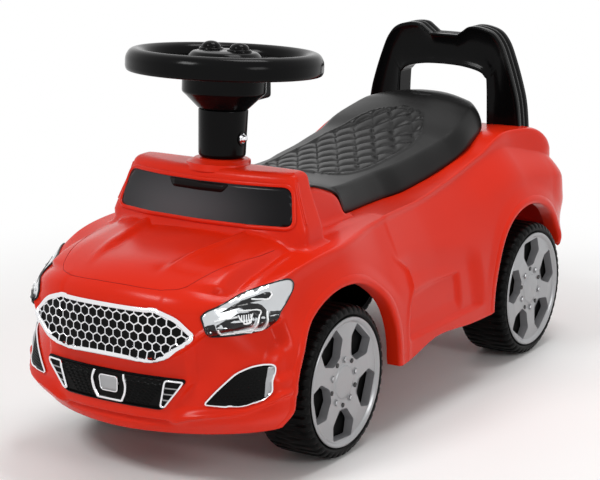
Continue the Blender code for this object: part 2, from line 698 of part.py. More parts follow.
def mirrored_box(side, low, high):
    """The two corners of a box on the left side, or of its mirror image."""
    if side > 0:
        return low, high
    return (-high[0], low[1], low[2]), (-low[0], high[1], high[2])


def body_ribs():
    """Solids left standing inside the shell: arch flanges, axle hangers, towers and sockets."""
    ribs = []
    rib_top = HOOD_HEIGHT + 0.072
    for side, word in SIDES:
        for place, y, radius in ARCHES:
            ribs.append(arch_cutter(f"flange_{place}_{word}", y, radius + SHELL_WALL,
                                    BODY_HALF_WIDTH - ARCH_FLANGE - SHELL_WALL, side))
        ribs.append(box_object(f"hanger_rear_{word}", *mirrored_box(
            side, (HANGER_X, REAR_AXLE_Y - 0.020, AXLE_HEIGHT - 0.013),
            (HANGER_X + RIB_WALL, REAR_AXLE_Y + 0.020, rib_top))))
        ribs.append(box_object(f"tower_front_{word}", *mirrored_box(
            side, (TOWER_X, FRONT_AXLE_Y - BEAM_HALF_WIDTH, BEAM_TOP + SEAT_GAP),
            (TOWER_X + RIB_WALL + 0.003, FRONT_AXLE_Y + BEAM_HALF_WIDTH, rib_top))))
        ribs.append(box_object(f"socket_wall_{word}", *mirrored_box(
            side, (FOOT_INNER_X - SHELL_WALL, BACKREST_FACE_Y, FOOT_BOTTOM - 2 * SHELL_WALL),
            (FOOT_OUTER_X + SHELL_WALL, BACKREST_FACE_Y + BACKREST_DEPTH, rib_top))))
    base = column_point(SCUTTLE_HEIGHT - 0.030)
    ribs.append(turned_object("column_boss", [(0, 0), (0, BUSH_RADIUS + SHELL_WALL), (0.04, BUSH_RADIUS + SHELL_WALL),
                                              (0.04, 0)], base, column_axis(), 20))
    return ribs


def hinge_lugs():
    """The two lugs on the shelf that hold the seat's hinge pins."""
    lugs = []
    for side, word in SIDES:
        bm = bmesh.new()
        radius = SEAT_BEAD_RADIUS - 0.0005
        outline = [(SEAT_HINGE_Y + radius * math.cos(math.pi * i / 8), SEAT_HINGE_Z + radius * math.sin(math.pi * i / 8))
                   for i in range(9)]
        outline += [(SEAT_HINGE_Y - radius, SHELF_HEIGHT - 0.002), (SEAT_HINGE_Y + radius, SHELF_HEIGHT - 0.002)]
        start = side * HINGE_LUG_X - HINGE_LUG_WIDTH / 2
        prism(bm, [(start, y, z) for y, z in outline], (HINGE_LUG_WIDTH, 0, 0))
        lugs.append(add_object(f"hinge_lug_{word}", bm))
    return lugs


def body_openings():
    """Cutters for the column, the rear axle, the hinge pins, the backrest's feet and the storage well."""
    cutters = [turned_object("column_opening",
                             [(0, 0), (0, BUSH_RADIUS + SEAT_GAP), (0.13, BUSH_RADIUS + SEAT_GAP), (0.13, 0)],
                             column_point(SCUTTLE_HEIGHT - 0.092), column_axis(), 24)]
    bore = AXLE_BUSH_RADIUS + SEAT_GAP
    cutters.append(turned_object("axle_opening", [(0, 0), (0, bore), (0.16, bore), (0.16, 0)],
                                 (-0.08, REAR_AXLE_Y, AXLE_HEIGHT), (1, 0, 0), 20))
    bore = HINGE_PIN_RADIUS + SEAT_GAP
    cutters.append(turned_object("pin_opening", [(0, 0), (0, bore), (0.14, bore), (0.14, 0)],
                                 (-0.07, SEAT_HINGE_Y, SEAT_HINGE_Z), (1, 0, 0), 10))
    for side, word in SIDES:
        cutters.append(box_object(f"socket_{word}", *mirrored_box(
            side, (FOOT_INNER_X - SEAT_GAP, BACKREST_FACE_Y + SHELL_WALL - SEAT_GAP, FOOT_BOTTOM - SEAT_GAP),
            (FOOT_OUTER_X + SEAT_GAP, BACKREST_FACE_Y + BACKREST_DEPTH - SHELL_WALL + SEAT_GAP,
                   HOOD_HEIGHT + 0.082))))
    cutters.append(box_object("well_opening",
                              (-TUB_HALF_WIDTH - SEAT_GAP, TUB_FRONT_Y - SEAT_GAP, HOOD_HEIGHT - 0.048),
                              (TUB_HALF_WIDTH + SEAT_GAP, TUB_REAR_Y + SEAT_GAP, HOOD_HEIGHT + 0.062)))
    return cutters


def column_axis():
    """The steering column leans back by its tilt."""
    return Vector((0, math.sin(COLUMN_TILT), math.cos(COLUMN_TILT)))


def column_point(height):
    """The point of the column's axis at a height."""
    return Vector((0, COLUMN_Y + (height - SLEEVE_BOTTOM) * math.tan(COLUMN_TILT), height))


# Trim on the body

def trim_panel(name, outline, reach, finish, inner_form, outer_form):
    """A thin moulded panel that hugs the body: an outline carried along reach, between two forms."""
    bm = bmesh.new()
    prism(bm, outline, reach)
    panel = add_object(name, bm, finish)
    boolean(panel, "INTERSECT", outer_form)
    boolean(panel, "DIFFERENCE", inner_form)
    return panel


def front_outline(points, side=1):
    """Puts (x, height from the hood) points just ahead of the nose."""
    return [(side * x, NOSE_Y - 0.02, HOOD_HEIGHT + z) for x, z in points]


UPPER_GRILLE = ((-0.068, -0.058), (-0.060, -0.043), (-0.046, -0.037), (0.046, -0.037), (0.060, -0.043),
                (0.068, -0.058), (0.056, -0.076), (0.042, -0.083), (-0.042, -0.083), (-0.056, -0.076))
LOWER_GRILLE = ((-0.072, -0.096), (0.072, -0.096), (0.050, -0.123), (-0.050, -0.123))
SIDE_VENT = ((0.083, -0.117), (0.092, -0.1055), (0.1045, -0.0905), (0.113, -0.086), (0.1255, -0.0865),
             (0.1268, -0.108), (0.1235, -0.1145), (0.110, -0.119))
HEADLAMP = ((0.0838, -0.0414), (0.0875, -0.0358), (0.1045, -0.0268), (0.118, -0.0212), (0.1235, -0.0205),
            (0.125, -0.024), (0.125, -0.034), (0.124, -0.043), (0.1205, -0.049), (0.110, -0.053),
            (0.090, -0.0555), (0.0868, -0.0535))


def body_trim(black, clear):
    inner = body_form("trim_seat_form", TRIM_GAP)
    outer = body_form("trim_face_form", TRIM_GAP + TRIM_THICKNESS)
    back = (0, 0.12, 0)
    trim_panel("upper_grille", front_outline(UPPER_GRILLE), back, black, inner, outer)
    trim_panel("lower_grille", front_outline(LOWER_GRILLE), back, black, inner, outer)
    for side, word in SIDES:
        trim_panel(f"side_vent_{word}", front_outline(SIDE_VENT, side), back, black, inner, outer)
        trim_panel(f"headlamp_{word}", front_outline(HEADLAMP, side), back, clear, inner, outer)
    half_low = SCUTTLE_HALF_WIDTH - 0.011
    half_high = SCUTTLE_HALF_WIDTH - SCUTTLE_TAPER
    low, high = HOOD_HEIGHT + 0.009, SCUTTLE_HEIGHT - 0.011
    screen = [(x, SCUTTLE_REAR_Y - 0.085, z) for x, z in ((-half_low, low), (half_low, low), (half_high, high),
                                                          (-half_high, high))]
    trim_panel("windscreen_panel", screen, (0, 0.066, 0), black, inner, outer)


# Seat and storage

# Each table gives a value at shares of the seat's length, from the hinge to the back.
SEAT_WIDTHS = ((0.0, 0.0000), (0.13, 0.0000), (0.18, 0.0025), (0.26, 0.0050), (0.33, 0.0065), (0.38, 0.0068),
               (0.46, 0.0030), (0.54, 0.0012), (0.61, -0.0005), (0.69, -0.0022), (0.76, -0.0035), (0.84, 0.0010),
               (0.89, 0.0060), (0.93, 0.0135), (0.955, 0.0220), (0.98, 0.0375), (1.0, 0.0600))
SEAT_SLOPES = ((0.0, 0.006), (0.13, 0.0105), (0.33, 0.014), (0.95, 0.014), (1.0, 0.009))
SEAT_CREASES = ((0.0, 0.0410), (0.055, 0.0350), (0.13, 0.0265), (0.18, 0.0225), (0.26, 0.0203), (0.33, 0.0202),
                (0.38, 0.0207), (0.46, 0.0228), (0.54, 0.0254), (0.61, 0.0290), (0.69, 0.0335), (0.76, 0.0421),
                (0.84, 0.0510), (0.89, 0.0560), (0.93, 0.0575), (0.955, 0.0565), (0.98, 0.0520), (1.0, 0.0450))
SEAT_CROWNS = ((0.0, 0.0430), (0.055, 0.0385), (0.13, 0.0305), (0.18, 0.0265), (0.26, 0.0245), (0.33, 0.0243),
               (0.38, 0.0248), (0.46, 0.0268), (0.54, 0.0298), (0.61, 0.0333), (0.69, 0.0385), (0.76, 0.0475),
               (0.84, 0.0568), (0.89, 0.0620), (0.93, 0.0642), (0.955, 0.0637), (0.98, 0.0580), (1.0, 0.0480))
SEAT_RIMS = ((0.0, 0.0355), (0.03, 0.0354), (0.096, 0.0277), (0.139, 0.0194), (0.164, 0.0055), (0.176, -0.0006),
             (0.33, -0.0039), (0.38, -0.0036), (0.46, -0.0009), (0.54, 0.0025), (0.61, 0.0071), (0.69, 0.0131),
             (0.76, 0.0215), (0.84, 0.0292), (0.89, 0.0325), (0.955, 0.0360), (1.0, 0.0380))
SEAT_ROWS = (0.0, 0.04, 0.10, 0.16, 0.22, 0.32, 0.42, 0.52, 0.62, 0.70, 0.77, 0.83, 0.88, 0.92, 0.95, 0.975, 0.992,
             1.0)
SEAT_TOP_SHARES = (0.0, 0.50, 0.85, 1.0)
SEAT_SIDE_SHARES = ((0.30, 0.16), (0.75, 0.65), (1.0, 1.0))


def seat_section(share, inset):
    """Half of the seat's section at a share of its length: (x, z) points from the middle to the rim."""
    rim_half = SEAT_HALF_WIDTH - monotone(SEAT_WIDTHS, share) - inset
    crease_half = rim_half - monotone(SEAT_SLOPES, share)
    crown = HOOD_HEIGHT + monotone(SEAT_CROWNS, share) - inset
    crease = HOOD_HEIGHT + monotone(SEAT_CREASES, share) - inset
    rim = HOOD_HEIGHT + monotone(SEAT_RIMS, share)
    points = [(crease_half * t, crown - (crown - crease) * t ** 2.4) for t in SEAT_TOP_SHARES]
    for out, down in SEAT_SIDE_SHARES:
        points.append((crease_half + (rim_half - crease_half) * out, crease + (min(rim, crease) - crease) * down))
    return points


def seat_form(name, inset, front, foot):
    """The closed form of the seat lid down to a low flat foot."""
    bm = bmesh.new()
    rings = []
    rear = SEAT_REAR_Y - inset
    length = SEAT_REAR_Y - SEAT_HINGE_Y
    for row in SEAT_ROWS:
        y = front + (rear - front) * row
        half = seat_section((y - SEAT_HINGE_Y) / length, inset)
        left = [(x, y, z) for x, z in half]
        right = [(-x, y, z) for x, z in half[1:]]
        rings.append(list(reversed(left)) + right + [(-half[-1][0], y, foot), (half[-1][0], y, foot)])
    loft(bm, rings)
    return add_object(name, bm)


def seat_lid(black):
    """The hollow seat lid, cut to lie on the body, with its hinge bead."""
    lid = seat_form("seat_lid", 0.0, SEAT_HINGE_Y, HOOD_HEIGHT - 0.020)
    lid.data.materials.append(black)
    bead_half = SEAT_HALF_WIDTH
    bead = [(0, 0), (0, SEAT_BEAD_RADIUS), (2 * bead_half, SEAT_BEAD_RADIUS), (2 * bead_half, 0)]
    boolean(lid, "DIFFERENCE", seat_form("seat_cavity", SEAT_WALL, SEAT_HINGE_Y + 0.009, HOOD_HEIGHT - 0.030))
    boolean(lid, "DIFFERENCE", body_form("seat_rest_form", SEAT_GAP))
    boolean(lid, "UNION", turned_object("seat_bead", bead, (-bead_half, SEAT_HINGE_Y, SEAT_HINGE_Z), (1, 0, 0), 20))
    notch = [(-0.06, 0), (-0.06, SEAT_NOTCH_RADIUS), (0.03, SEAT_NOTCH_RADIUS), (0.03, 0)]
    boolean(lid, "DIFFERENCE", turned_object("seat_notch", notch, column_point(SCUTTLE_HEIGHT), (0, 0, 1), 32))
    slot = HINGE_LUG_WIDTH / 2 + RUN_GAP
    for side, word in SIDES:
        boolean(lid, "DIFFERENCE", box_object(
            f"hinge_slot_{word}", (side * HINGE_LUG_X - slot, SEAT_HINGE_Y - 0.01, SEAT_HINGE_Z - 0.02),
            (side * HINGE_LUG_X + slot, SEAT_HINGE_Y + 0.0075, SEAT_HINGE_Z + 0.02)))
    bore = HINGE_PIN_RADIUS + SEAT_GAP
    boolean(lid, "DIFFERENCE", turned_object("bead_bore", [(0, 0), (0, bore), (0.14, bore), (0.14, 0)],
                                             (-0.07, SEAT_HINGE_Y, SEAT_HINGE_Z), (1, 0, 0), 10))
    return lid


def hinge_pins(steel):
    for side, word in SIDES:
        start = (side * HINGE_LUG_X - HINGE_PIN_HALF, SEAT_HINGE_Y, SEAT_HINGE_Z)
        end = (side * HINGE_LUG_X + HINGE_PIN_HALF, SEAT_HINGE_Y, SEAT_HINGE_Z)
        rod_object(f"seat_hinge_pin_{word}", start, end, HINGE_PIN_RADIUS, 10, steel)


def storage_tub(black):
    """A box that hangs by its flange in the well under the seat."""
    centre_y = (TUB_FRONT_Y + TUB_REAR_Y) / 2
    half_y = (TUB_REAR_Y - TUB_FRONT_Y) / 2
    floor = HOOD_HEIGHT + 0.008 - TUB_DEPTH

    def ring(inset, z, slope=0.0):
        return [(x, centre_y + y, z + slope * (y + half_y)) for x, y in
                rounded_rectangle(TUB_HALF_WIDTH - inset, half_y - inset, 0.012, 3)]

    slope = TUB_SLOPE
    top = HOOD_HEIGHT + 0.005
    low = HOOD_HEIGHT - 0.008
    bm = bmesh.new()
    outside = [ring(0.006, floor), ring(0.004, floor + 0.004), ring(0.0, low, slope), ring(0.0, low + 0.002, slope),
               ring(-TUB_FLANGE, low + 0.0025, slope), ring(-TUB_FLANGE, top, slope)]
    inside = [ring(TUB_WALL, top, slope), ring(TUB_WALL, low, slope), ring(0.004 + TUB_WALL, floor + 0.006),
              ring(0.006 + TUB_WALL, floor + TUB_WALL)]
    loft(bm, outside + inside)
    tub = add_object("storage_tub", bm, black)
    boolean(tub, "DIFFERENCE", well_rest())
    return tub


def well_rest():
    """The body's form around the well, which trims the underside of the tub's flange."""
    rest = body_solid("tub_rest_form", 0.0)
    shrink(rest, -SEAT_GAP)
    hole = box_object("tub_rest_hole", (-TUB_HALF_WIDTH - 0.0001, TUB_FRONT_Y - 0.0001, 0.02),
                      (TUB_HALF_WIDTH + 0.0001, TUB_REAR_Y + 0.0001, HOOD_HEIGHT + 0.10))
    boolean(rest, "DIFFERENCE", hole)
    return as_cutter(rest)


# Backrest

# Half of the backrest's outline: shares of its half width, and heights from its top
BACKREST_OUTER = ((1.000, -0.1245), (0.962, -0.082), (0.891, -0.055), (0.788, -0.0275), (0.717, -0.014),
                  (0.620, -0.0045), (0.467, 0.0), (0.326, 0.0), (0.239, -0.005), (0.174, -0.0095))
BACKREST_INNER = ((0.576, -0.1245), (0.560, -0.060), (0.533, -0.052), (0.457, -0.0465), (0.239, -0.0425),
                  (0.0, -0.0415))


def backrest_side(shares, side):
    return [(side * BACKREST_HALF_WIDTH * share, BACKREST_FACE_Y, BACKREST_TOP + z) for share, z in shares]


def backrest(black):
    """The arched backrest, also the push handle, with two feet that go into sockets."""
    right = backrest_side(BACKREST_OUTER, 1)
    left = backrest_side(reversed(BACKREST_OUTER), -1)
    hole_left = backrest_side(BACKREST_INNER[:-1], -1)
    hole_right = backrest_side(reversed(BACKREST_INNER), 1)
    bm = bmesh.new()
    prism(bm, right + left + hole_left + hole_right, (0, BACKREST_DEPTH, 0))
    rest = add_object("backrest", bm, black)
    boolean(rest, "DIFFERENCE", body_form("backrest_rest_form", SEAT_GAP))
    for side, word in SIDES:
        boolean(rest, "UNION", box_object(f"backrest_foot_{word}", *mirrored_box(
            side, (FOOT_INNER_X, BACKREST_FACE_Y + SHELL_WALL, FOOT_BOTTOM),
            (FOOT_OUTER_X, BACKREST_FACE_Y + BACKREST_DEPTH - SHELL_WALL, BACKREST_TOP - 0.090))))
    return rest


# Steering

def along_column(height):
    """How far along the column's axis a height lies from the sleeve's bottom."""
    return (height - SLEEVE_BOTTOM) / math.cos(COLUMN_TILT)


def column_ring(bm, profile, steps):
    """A turned solid on the column: (height, radius) pairs."""
    turned(bm, [(along_column(h), r) for h, r in profile], column_point(SLEEVE_BOTTOM), column_axis(), steps)


def column_object(name, profile, steps, finish=None):
    bm = bmesh.new()
    column_ring(bm, profile, steps)
    return add_object(name, bm, finish)


def wheel_box(name, low, high, degrees=0.0, finish=None):
    """A box in the steering wheel's own frame: its middle is the origin, +Z runs up the column."""
    bm = bmesh.new()
    outline = [(low[0], low[1], low[2]), (high[0], low[1], low[2]),
               (high[0], high[1], low[2]), (low[0], high[1], low[2])]
    prism(bm, outline, (0, 0, high[2] - low[2]))
    place = (Matrix.Translation(column_point(WHEEL_CENTRE_HEIGHT)) @ Matrix.Rotation(-COLUMN_TILT, 4, "X")
             @ Matrix.Rotation(math.radians(degrees), 4, "Z"))
    bmesh.ops.transform(bm, matrix=place, verts=bm.verts)
    return add_object(name, bm, finish)


def steering_wheel(black):
    """One moulding: a deep-skirted rim, three flat spokes and a bowl-shaped hub."""
    outer = STEERING_WHEEL_RADIUS
    inner = outer - GRIP_WIDTH
    mid = WHEEL_CENTRE_HEIGHT
    half = GRIP_HEIGHT / 2
    rim = [(mid - half, outer - 0.003), (mid - half + 0.004, outer), (mid + half - 0.007, outer),
           (mid + half - 0.002, outer - 0.004), (mid + half, outer - 0.009), (mid + half - 0.003, inner + 0.003),
           (mid + half - 0.010, inner), (mid - half, inner + 0.002)]
    wheel = column_object("steering_wheel", rim, 36, black)
    bowl = [(BOWL_BOTTOM, 0), (BOWL_BOTTOM, SLEEVE_RADIUS + 0.0005), (BOWL_BOTTOM + 0.011, HUB_BOWL_RADIUS - 0.004),
            (BOWL_BOTTOM + 0.014, HUB_BOWL_RADIUS), (HUB_TOP - 0.006, HUB_BOWL_RADIUS), (HUB_TOP - 0.006, 0)]
    boolean(wheel, "UNION", column_object("hub_form", bowl, 32))
    for index, angle in enumerate((0.0, 180.0, 90.0)):
        boolean(wheel, "UNION", wheel_box(f"spoke_form_{index}", (HUB_BOWL_RADIUS - 0.002, -0.017, SPOKE_BOTTOM),
                                          (inner + 0.006, 0.017, SPOKE_TOP), angle))
    pocket = [(HUB_TOP - 0.016, 0), (HUB_TOP - 0.016, HUB_BOWL_RADIUS - 0.004),
              (HUB_TOP + 0.01, HUB_BOWL_RADIUS - 0.004), (HUB_TOP + 0.01, 0)]
    boolean(wheel, "DIFFERENCE", column_object("hub_pocket", pocket, 32))
    bore = ROD_RADIUS + SEAT_GAP
    boolean(wheel, "DIFFERENCE", column_object("hub_bore", [(BOWL_BOTTOM - 0.01, 0), (BOWL_BOTTOM - 0.01, bore),
                                                            (ROD_TOP + 0.001, bore), (ROD_TOP + 0.001, 0)], 16))
    return wheel


def hub_cover(black):
    """The domed cover of the hub with its two push buttons."""
    edge = HUB_BOWL_RADIUS - 0.004 - SEAT_GAP
    cover = column_object("hub_cover", [
        (HUB_TOP - 0.0157, edge - 0.003), (HUB_TOP - 0.0157, edge), (HUB_TOP, edge), (HUB_TOP + 0.004, edge - 0.004),
        (HUB_TOP + 0.0055, edge - 0.012), (HUB_TOP + 0.006, 0.0), (HUB_TOP + 0.003, 0.0),
        (HUB_TOP + 0.003, edge - 0.007), (HUB_TOP, edge - 0.003)], 28, black)
    for side, word in ((1, "horn"), (-1, "tune")):
        centre = column_point(HUB_TOP) + Vector((side * BUTTON_X, 0, 0))
        bore = BUTTON_RADIUS + SEAT_GAP
        hole = [(-0.02, 0), (-0.02, bore), (0.02, bore), (0.02, 0)]
        boolean(cover, "DIFFERENCE", turned_object(f"{word}_hole", hole, centre, column_axis(), 20))
        radius = BUTTON_RADIUS
        cap = [(0.0, 0), (0.0, radius + 0.0012), (0.0023, radius + 0.0012), (0.0023, radius), (0.0085, radius),
               (0.0115, radius - 0.0025), (0.0128, radius - 0.006), (0.013, 0)]
        turned_object(f"{word}_button", cap, centre, column_axis(), 20, black)


def battery_box(black):
    """The sound unit's battery box, which hangs under the driver's spoke beside the hub."""
    case = wheel_box("battery_box", (-0.015, HUB_BOWL_RADIUS - 0.004, -0.036),
                     (0.015, HUB_BOWL_RADIUS + 0.018, SPOKE_BOTTOM - SEAT_GAP), 0.0, black)
    clear = HUB_BOWL_RADIUS + SEAT_GAP
    boolean(case, "DIFFERENCE", column_object("battery_box_rest", [
        (BOWL_BOTTOM - 0.02, 0), (BOWL_BOTTOM - 0.02, clear), (HUB_TOP, clear), (HUB_TOP, 0)], 32))
    return case


def swept(name, points, radius, steps, finish):
    """A round bar bent along points that lie in one plane through X."""
    bm = bmesh.new()
    rings = []
    side = Vector((1, 0, 0))
    places = [Vector(p) for p in points]
    for index, place in enumerate(places):
        before = (place - places[index - 1]).normalized() if index else None
        after = (places[index + 1] - place).normalized() if index + 1 < len(places) else None
        along = ((before or after) + (after or before)).normalized()
        stretch = 1 / max(along.dot(after or before), 0.5)
        up = side.cross(along).normalized() * stretch
        rings.append([place + radius * (side * math.cos(a) + up * math.sin(a))
                      for a in (2 * math.pi * i / steps for i in range(steps))])
    loft(bm, rings)
    return add_object(name, bm, finish)


def steering_rod(steel):
    """The steel rod from the hub down to its crank, whose end works in the tie rod."""
    top = column_point(ROD_TOP)
    bend = column_point(CRANK_HEIGHT)
    crank = bend + Vector((0, -CRANK_ARM, 0))
    corner = ROD_RADIUS * 0.6
    points = (top, bend + Vector((0, corner * math.tan(COLUMN_TILT), corner)), bend + Vector((0, -corner, 0)),
              crank + Vector((0, corner, 0)), crank + Vector((0, 0, -corner)), (0, crank.y, ROD_END))
    rod = swept("steering_rod", points, ROD_RADIUS, 14, steel)
    boolean(rod, "DIFFERENCE", bolt_hole("rod"))
    return rod


def bolt_hole(word):
    """The cross hole for the bolt through the sleeve and the rod."""
    centre = column_point(BOLT_HEIGHT)
    reach = Vector((2 * SLEEVE_RADIUS, 0, 0))
    return rod_object(f"{word}_bolt_hole", centre - reach, centre + reach, BOLT_RADIUS + SEAT_GAP, 12)


def column_parts(black, steel, chrome, grey):
    bottom, top = SLEEVE_BOTTOM, BOWL_BOTTOM - SEAT_GAP
    bore = ROD_RADIUS + SEAT_GAP
    sleeve = column_object("column_sleeve", [
        (bottom, bore), (bottom, SLEEVE_RADIUS - 0.004), (bottom + 0.004, SLEEVE_RADIUS - 0.001),
        (top, SLEEVE_RADIUS + 0.0005), (top, bore)], 32, black)
    bolt_centre = column_point(BOLT_HEIGHT)
    boolean(sleeve, "DIFFERENCE", bolt_hole("sleeve"))
    for side, word in ((1, "nut"), (-1, "head")):
        boolean(sleeve, "DIFFERENCE", rod_object(
            f"{word}_recess", bolt_centre + side * Vector((SLEEVE_RADIUS - 0.004, 0, 0)),
            bolt_centre + side * Vector((0.05, 0, 0)), 0.0055, 16))
    turned_object("column_bolt", [(0, 0), (0, 0.0048), (0.003, 0.0048), (0.003, BOLT_RADIUS),
                                  (2 * SLEEVE_RADIUS - 0.003, BOLT_RADIUS), (2 * SLEEVE_RADIUS - 0.003, 0)],
                  bolt_centre - Vector((SLEEVE_RADIUS - 0.0005, 0, 0)), (1, 0, 0), 12, steel)
    nut_base = SLEEVE_RADIUS - 0.004 + SEAT_GAP
    turned_object("cap_nut", [(0, BOLT_RADIUS + SEAT_GAP), (0, 0.0048), (0.0032, 0.0048), (0.0048, 0.0036),
                              (0.0068, 0.0022), (0.0074, 0), (0.0034, 0), (0.0034, BOLT_RADIUS + SEAT_GAP)],
                  bolt_centre + Vector((nut_base, 0, 0)), (1, 0, 0), 12, chrome)
    bush_low = SCUTTLE_HEIGHT - 0.032
    bush_high = SLEEVE_BOTTOM - SEAT_GAP
    running = ROD_RADIUS + RUN_GAP
    flange = BUSH_RADIUS + 0.002
    column_object("column_bush", [
        (bush_low, running), (bush_low, flange), (bush_low + BUSH_FLANGE, flange),
        (bush_low + BUSH_FLANGE, BUSH_RADIUS), (bush_high, BUSH_RADIUS), (bush_high, running)], 24, grey)
    return sleeve


# Front axle

def front_beam(black):
    """The beam across the front that carries both king pins, with the hole for the steering rod."""
    bm = bmesh.new()
    low = BEAM_TOP - BEAM_THICKNESS
    outline = []
    for x, y in ((BEAM_HALF_LENGTH, -0.012), (BEAM_HALF_LENGTH, 0.012), (0.045, BEAM_HALF_WIDTH),
                 (-0.045, BEAM_HALF_WIDTH), (-BEAM_HALF_LENGTH, 0.012), (-BEAM_HALF_LENGTH, -0.012),
                 (-0.045, -BEAM_HALF_WIDTH), (0.045, -BEAM_HALF_WIDTH)):
        outline.append((x, FRONT_AXLE_Y + y, low))
    prism(bm, outline, (0, 0, BEAM_THICKNESS))
    beam = add_object("front_beam", bm, black)
    reach = 0.03
    bore = ROD_RADIUS + RUN_GAP
    boolean(beam, "DIFFERENCE", turned_object("beam_rod_bore", [(0, 0), (0, bore), (2 * reach, bore), (2 * reach, 0)],
                                              column_point(low - reach), column_axis(), 18))
    for side, word in SIDES:
        boolean(beam, "DIFFERENCE", rod_object(
            f"beam_pin_bore_{word}", (side * KING_PIN_X, FRONT_AXLE_Y, low - reach),
            (side * KING_PIN_X, FRONT_AXLE_Y, BEAM_TOP + reach), KING_PIN_RADIUS + SEAT_GAP, 14))
        for index, y in enumerate((-SCREW_Y, SCREW_Y)):
            place = (side * SCREW_X, FRONT_AXLE_Y + y)
            boolean(beam, "DIFFERENCE", rod_object(f"beam_screw_bore_{word}_{index}", (*place, low - reach),
                                                   (*place, BEAM_TOP + reach), SCREW_RADIUS + SEAT_GAP, 10))
    return beam


def beam_screws(steel):
    """Four screws that hold the beam under the towers, with their heads below it."""
    low = BEAM_TOP - BEAM_THICKNESS
    for side, word in SIDES:
        for end, y in (("front", -SCREW_Y), ("rear", SCREW_Y)):
            turned_object(f"beam_screw_{end}_{word}", [
                (-0.0023, 0), (-0.0023, 0.0030), (-SEAT_GAP, 0.0036), (-SEAT_GAP, SCREW_RADIUS),
                (BEAM_THICKNESS, SCREW_RADIUS), (BEAM_THICKNESS, 0)],
                (side * SCREW_X, FRONT_AXLE_Y + y, low), (0, 0, 1), 10, steel)


def knuckle(side, word, black, steel):
    """A steering knuckle with its wheel boss, arm and stud, and the king pin and stub axle in it."""
    x, y = side * KING_PIN_X, FRONT_AXLE_Y
    piece = rod_object(f"knuckle_{word}", (x, y, KNUCKLE_BOTTOM), (x, y, KNUCKLE_TOP), KNUCKLE_RADIUS, 20, black)
    boolean(piece, "UNION", box_object(f"knuckle_arm_{word}", (x - 0.0045, LINK_Y - 0.005, KNUCKLE_BOTTOM),
                                       (x + 0.0045, y, ARM_TOP)))
    boolean(piece, "UNION", rod_object(f"knuckle_stud_{word}", (x, LINK_Y, ROD_END), (x, LINK_Y, ARM_TOP - 0.001),
                                       STUD_RADIUS, 14))
    boolean(piece, "UNION", rod_object(f"knuckle_boss_{word}", (x, y, AXLE_HEIGHT),
                                       (x + side * KNUCKLE_BOSS, y, AXLE_HEIGHT), 0.0072, 18))
    boolean(piece, "DIFFERENCE", rod_object(f"knuckle_pin_bore_{word}", (x, y, KNUCKLE_BOTTOM - 0.01),
                                            (x, y, KNUCKLE_TOP + 0.01), KING_PIN_RADIUS + SEAT_GAP, 14))
    boolean(piece, "DIFFERENCE", rod_object(f"knuckle_axle_bore_{word}", (x + side * 0.0042, y, AXLE_HEIGHT),
                                            (x + side * 0.03, y, AXLE_HEIGHT), AXLE_RADIUS + SEAT_GAP, 14))
    turned_object(f"king_pin_{word}", [
        (KNUCKLE_BOTTOM - 0.0023, 0), (KNUCKLE_BOTTOM - 0.0023, 0.0045), (KNUCKLE_BOTTOM - SEAT_GAP, 0.0045),
        (KNUCKLE_BOTTOM - SEAT_GAP, KING_PIN_RADIUS), (BEAM_TOP + 0.0015, KING_PIN_RADIUS), (BEAM_TOP + 0.0015, 0)],
        (x, y, 0), (0, 0, 1), 14, steel)
    rod_object(f"stub_axle_{word}", (x + side * 0.0045, y, AXLE_HEIGHT), (side * AXLE_END_X, y, AXLE_HEIGHT),
               AXLE_RADIUS, 16, steel)
    return piece


def tie_rod(black):
    """The flat link between the knuckles, slotted where the open linkage needs room."""
    bm = bmesh.new()
    bottom = TIE_ROD_TOP - TIE_ROD_THICKNESS
    half = KING_PIN_X + 0.008
    outline = [(x, LINK_Y + y, bottom) for x, y in rounded_rectangle(half, 0.0115, 0.007, 3)]
    prism(bm, outline, (0, 0, TIE_ROD_THICKNESS))
    link = add_object("tie_rod", bm, black)
    crank_y = column_point(CRANK_HEIGHT).y - CRANK_ARM
    rise = CRANK_ARM * (1 - math.cos(math.radians(STEERING_LOCK_DEGREES)))
    sway = KNUCKLE_ARM * (1 - math.cos(math.radians(KNUCKLE_LOCK_DEGREES)))
    lag = 0.0009
    slots = [("crank", 0.0, crank_y, ROD_RADIUS, rise)]
    slots += [(f"stud_{word}", side * KING_PIN_X, LINK_Y, STUD_RADIUS, sway) for side, word in SIDES]
    for word, x, y, radius, travel in slots:
        reach = radius + SEAT_GAP + lag
        cutter = bmesh.new()
        middle = y + travel / 2
        points = [(x + px, middle + py, bottom - 0.01) for px, py in
                  rounded_rectangle(reach, radius + SEAT_GAP + travel / 2, radius, 4)]
        prism(cutter, points, (0, 0, 0.02 + TIE_ROD_THICKNESS))
        boolean(link, "DIFFERENCE", add_object(f"{word}_slot", cutter))
    return link


# Rear axle and wheels

# Corners of a window of the wheel cover, as radius and degrees from the window's middle, and the
# turn of the first window
WINDOW = ((0.0275, -12), (0.0410, -22), (0.0525, -13), (0.0525, 13), (0.0410, 22), (0.0275, 12))
WINDOW_TURNS = {"front": 50.0, "rear": 21.0}


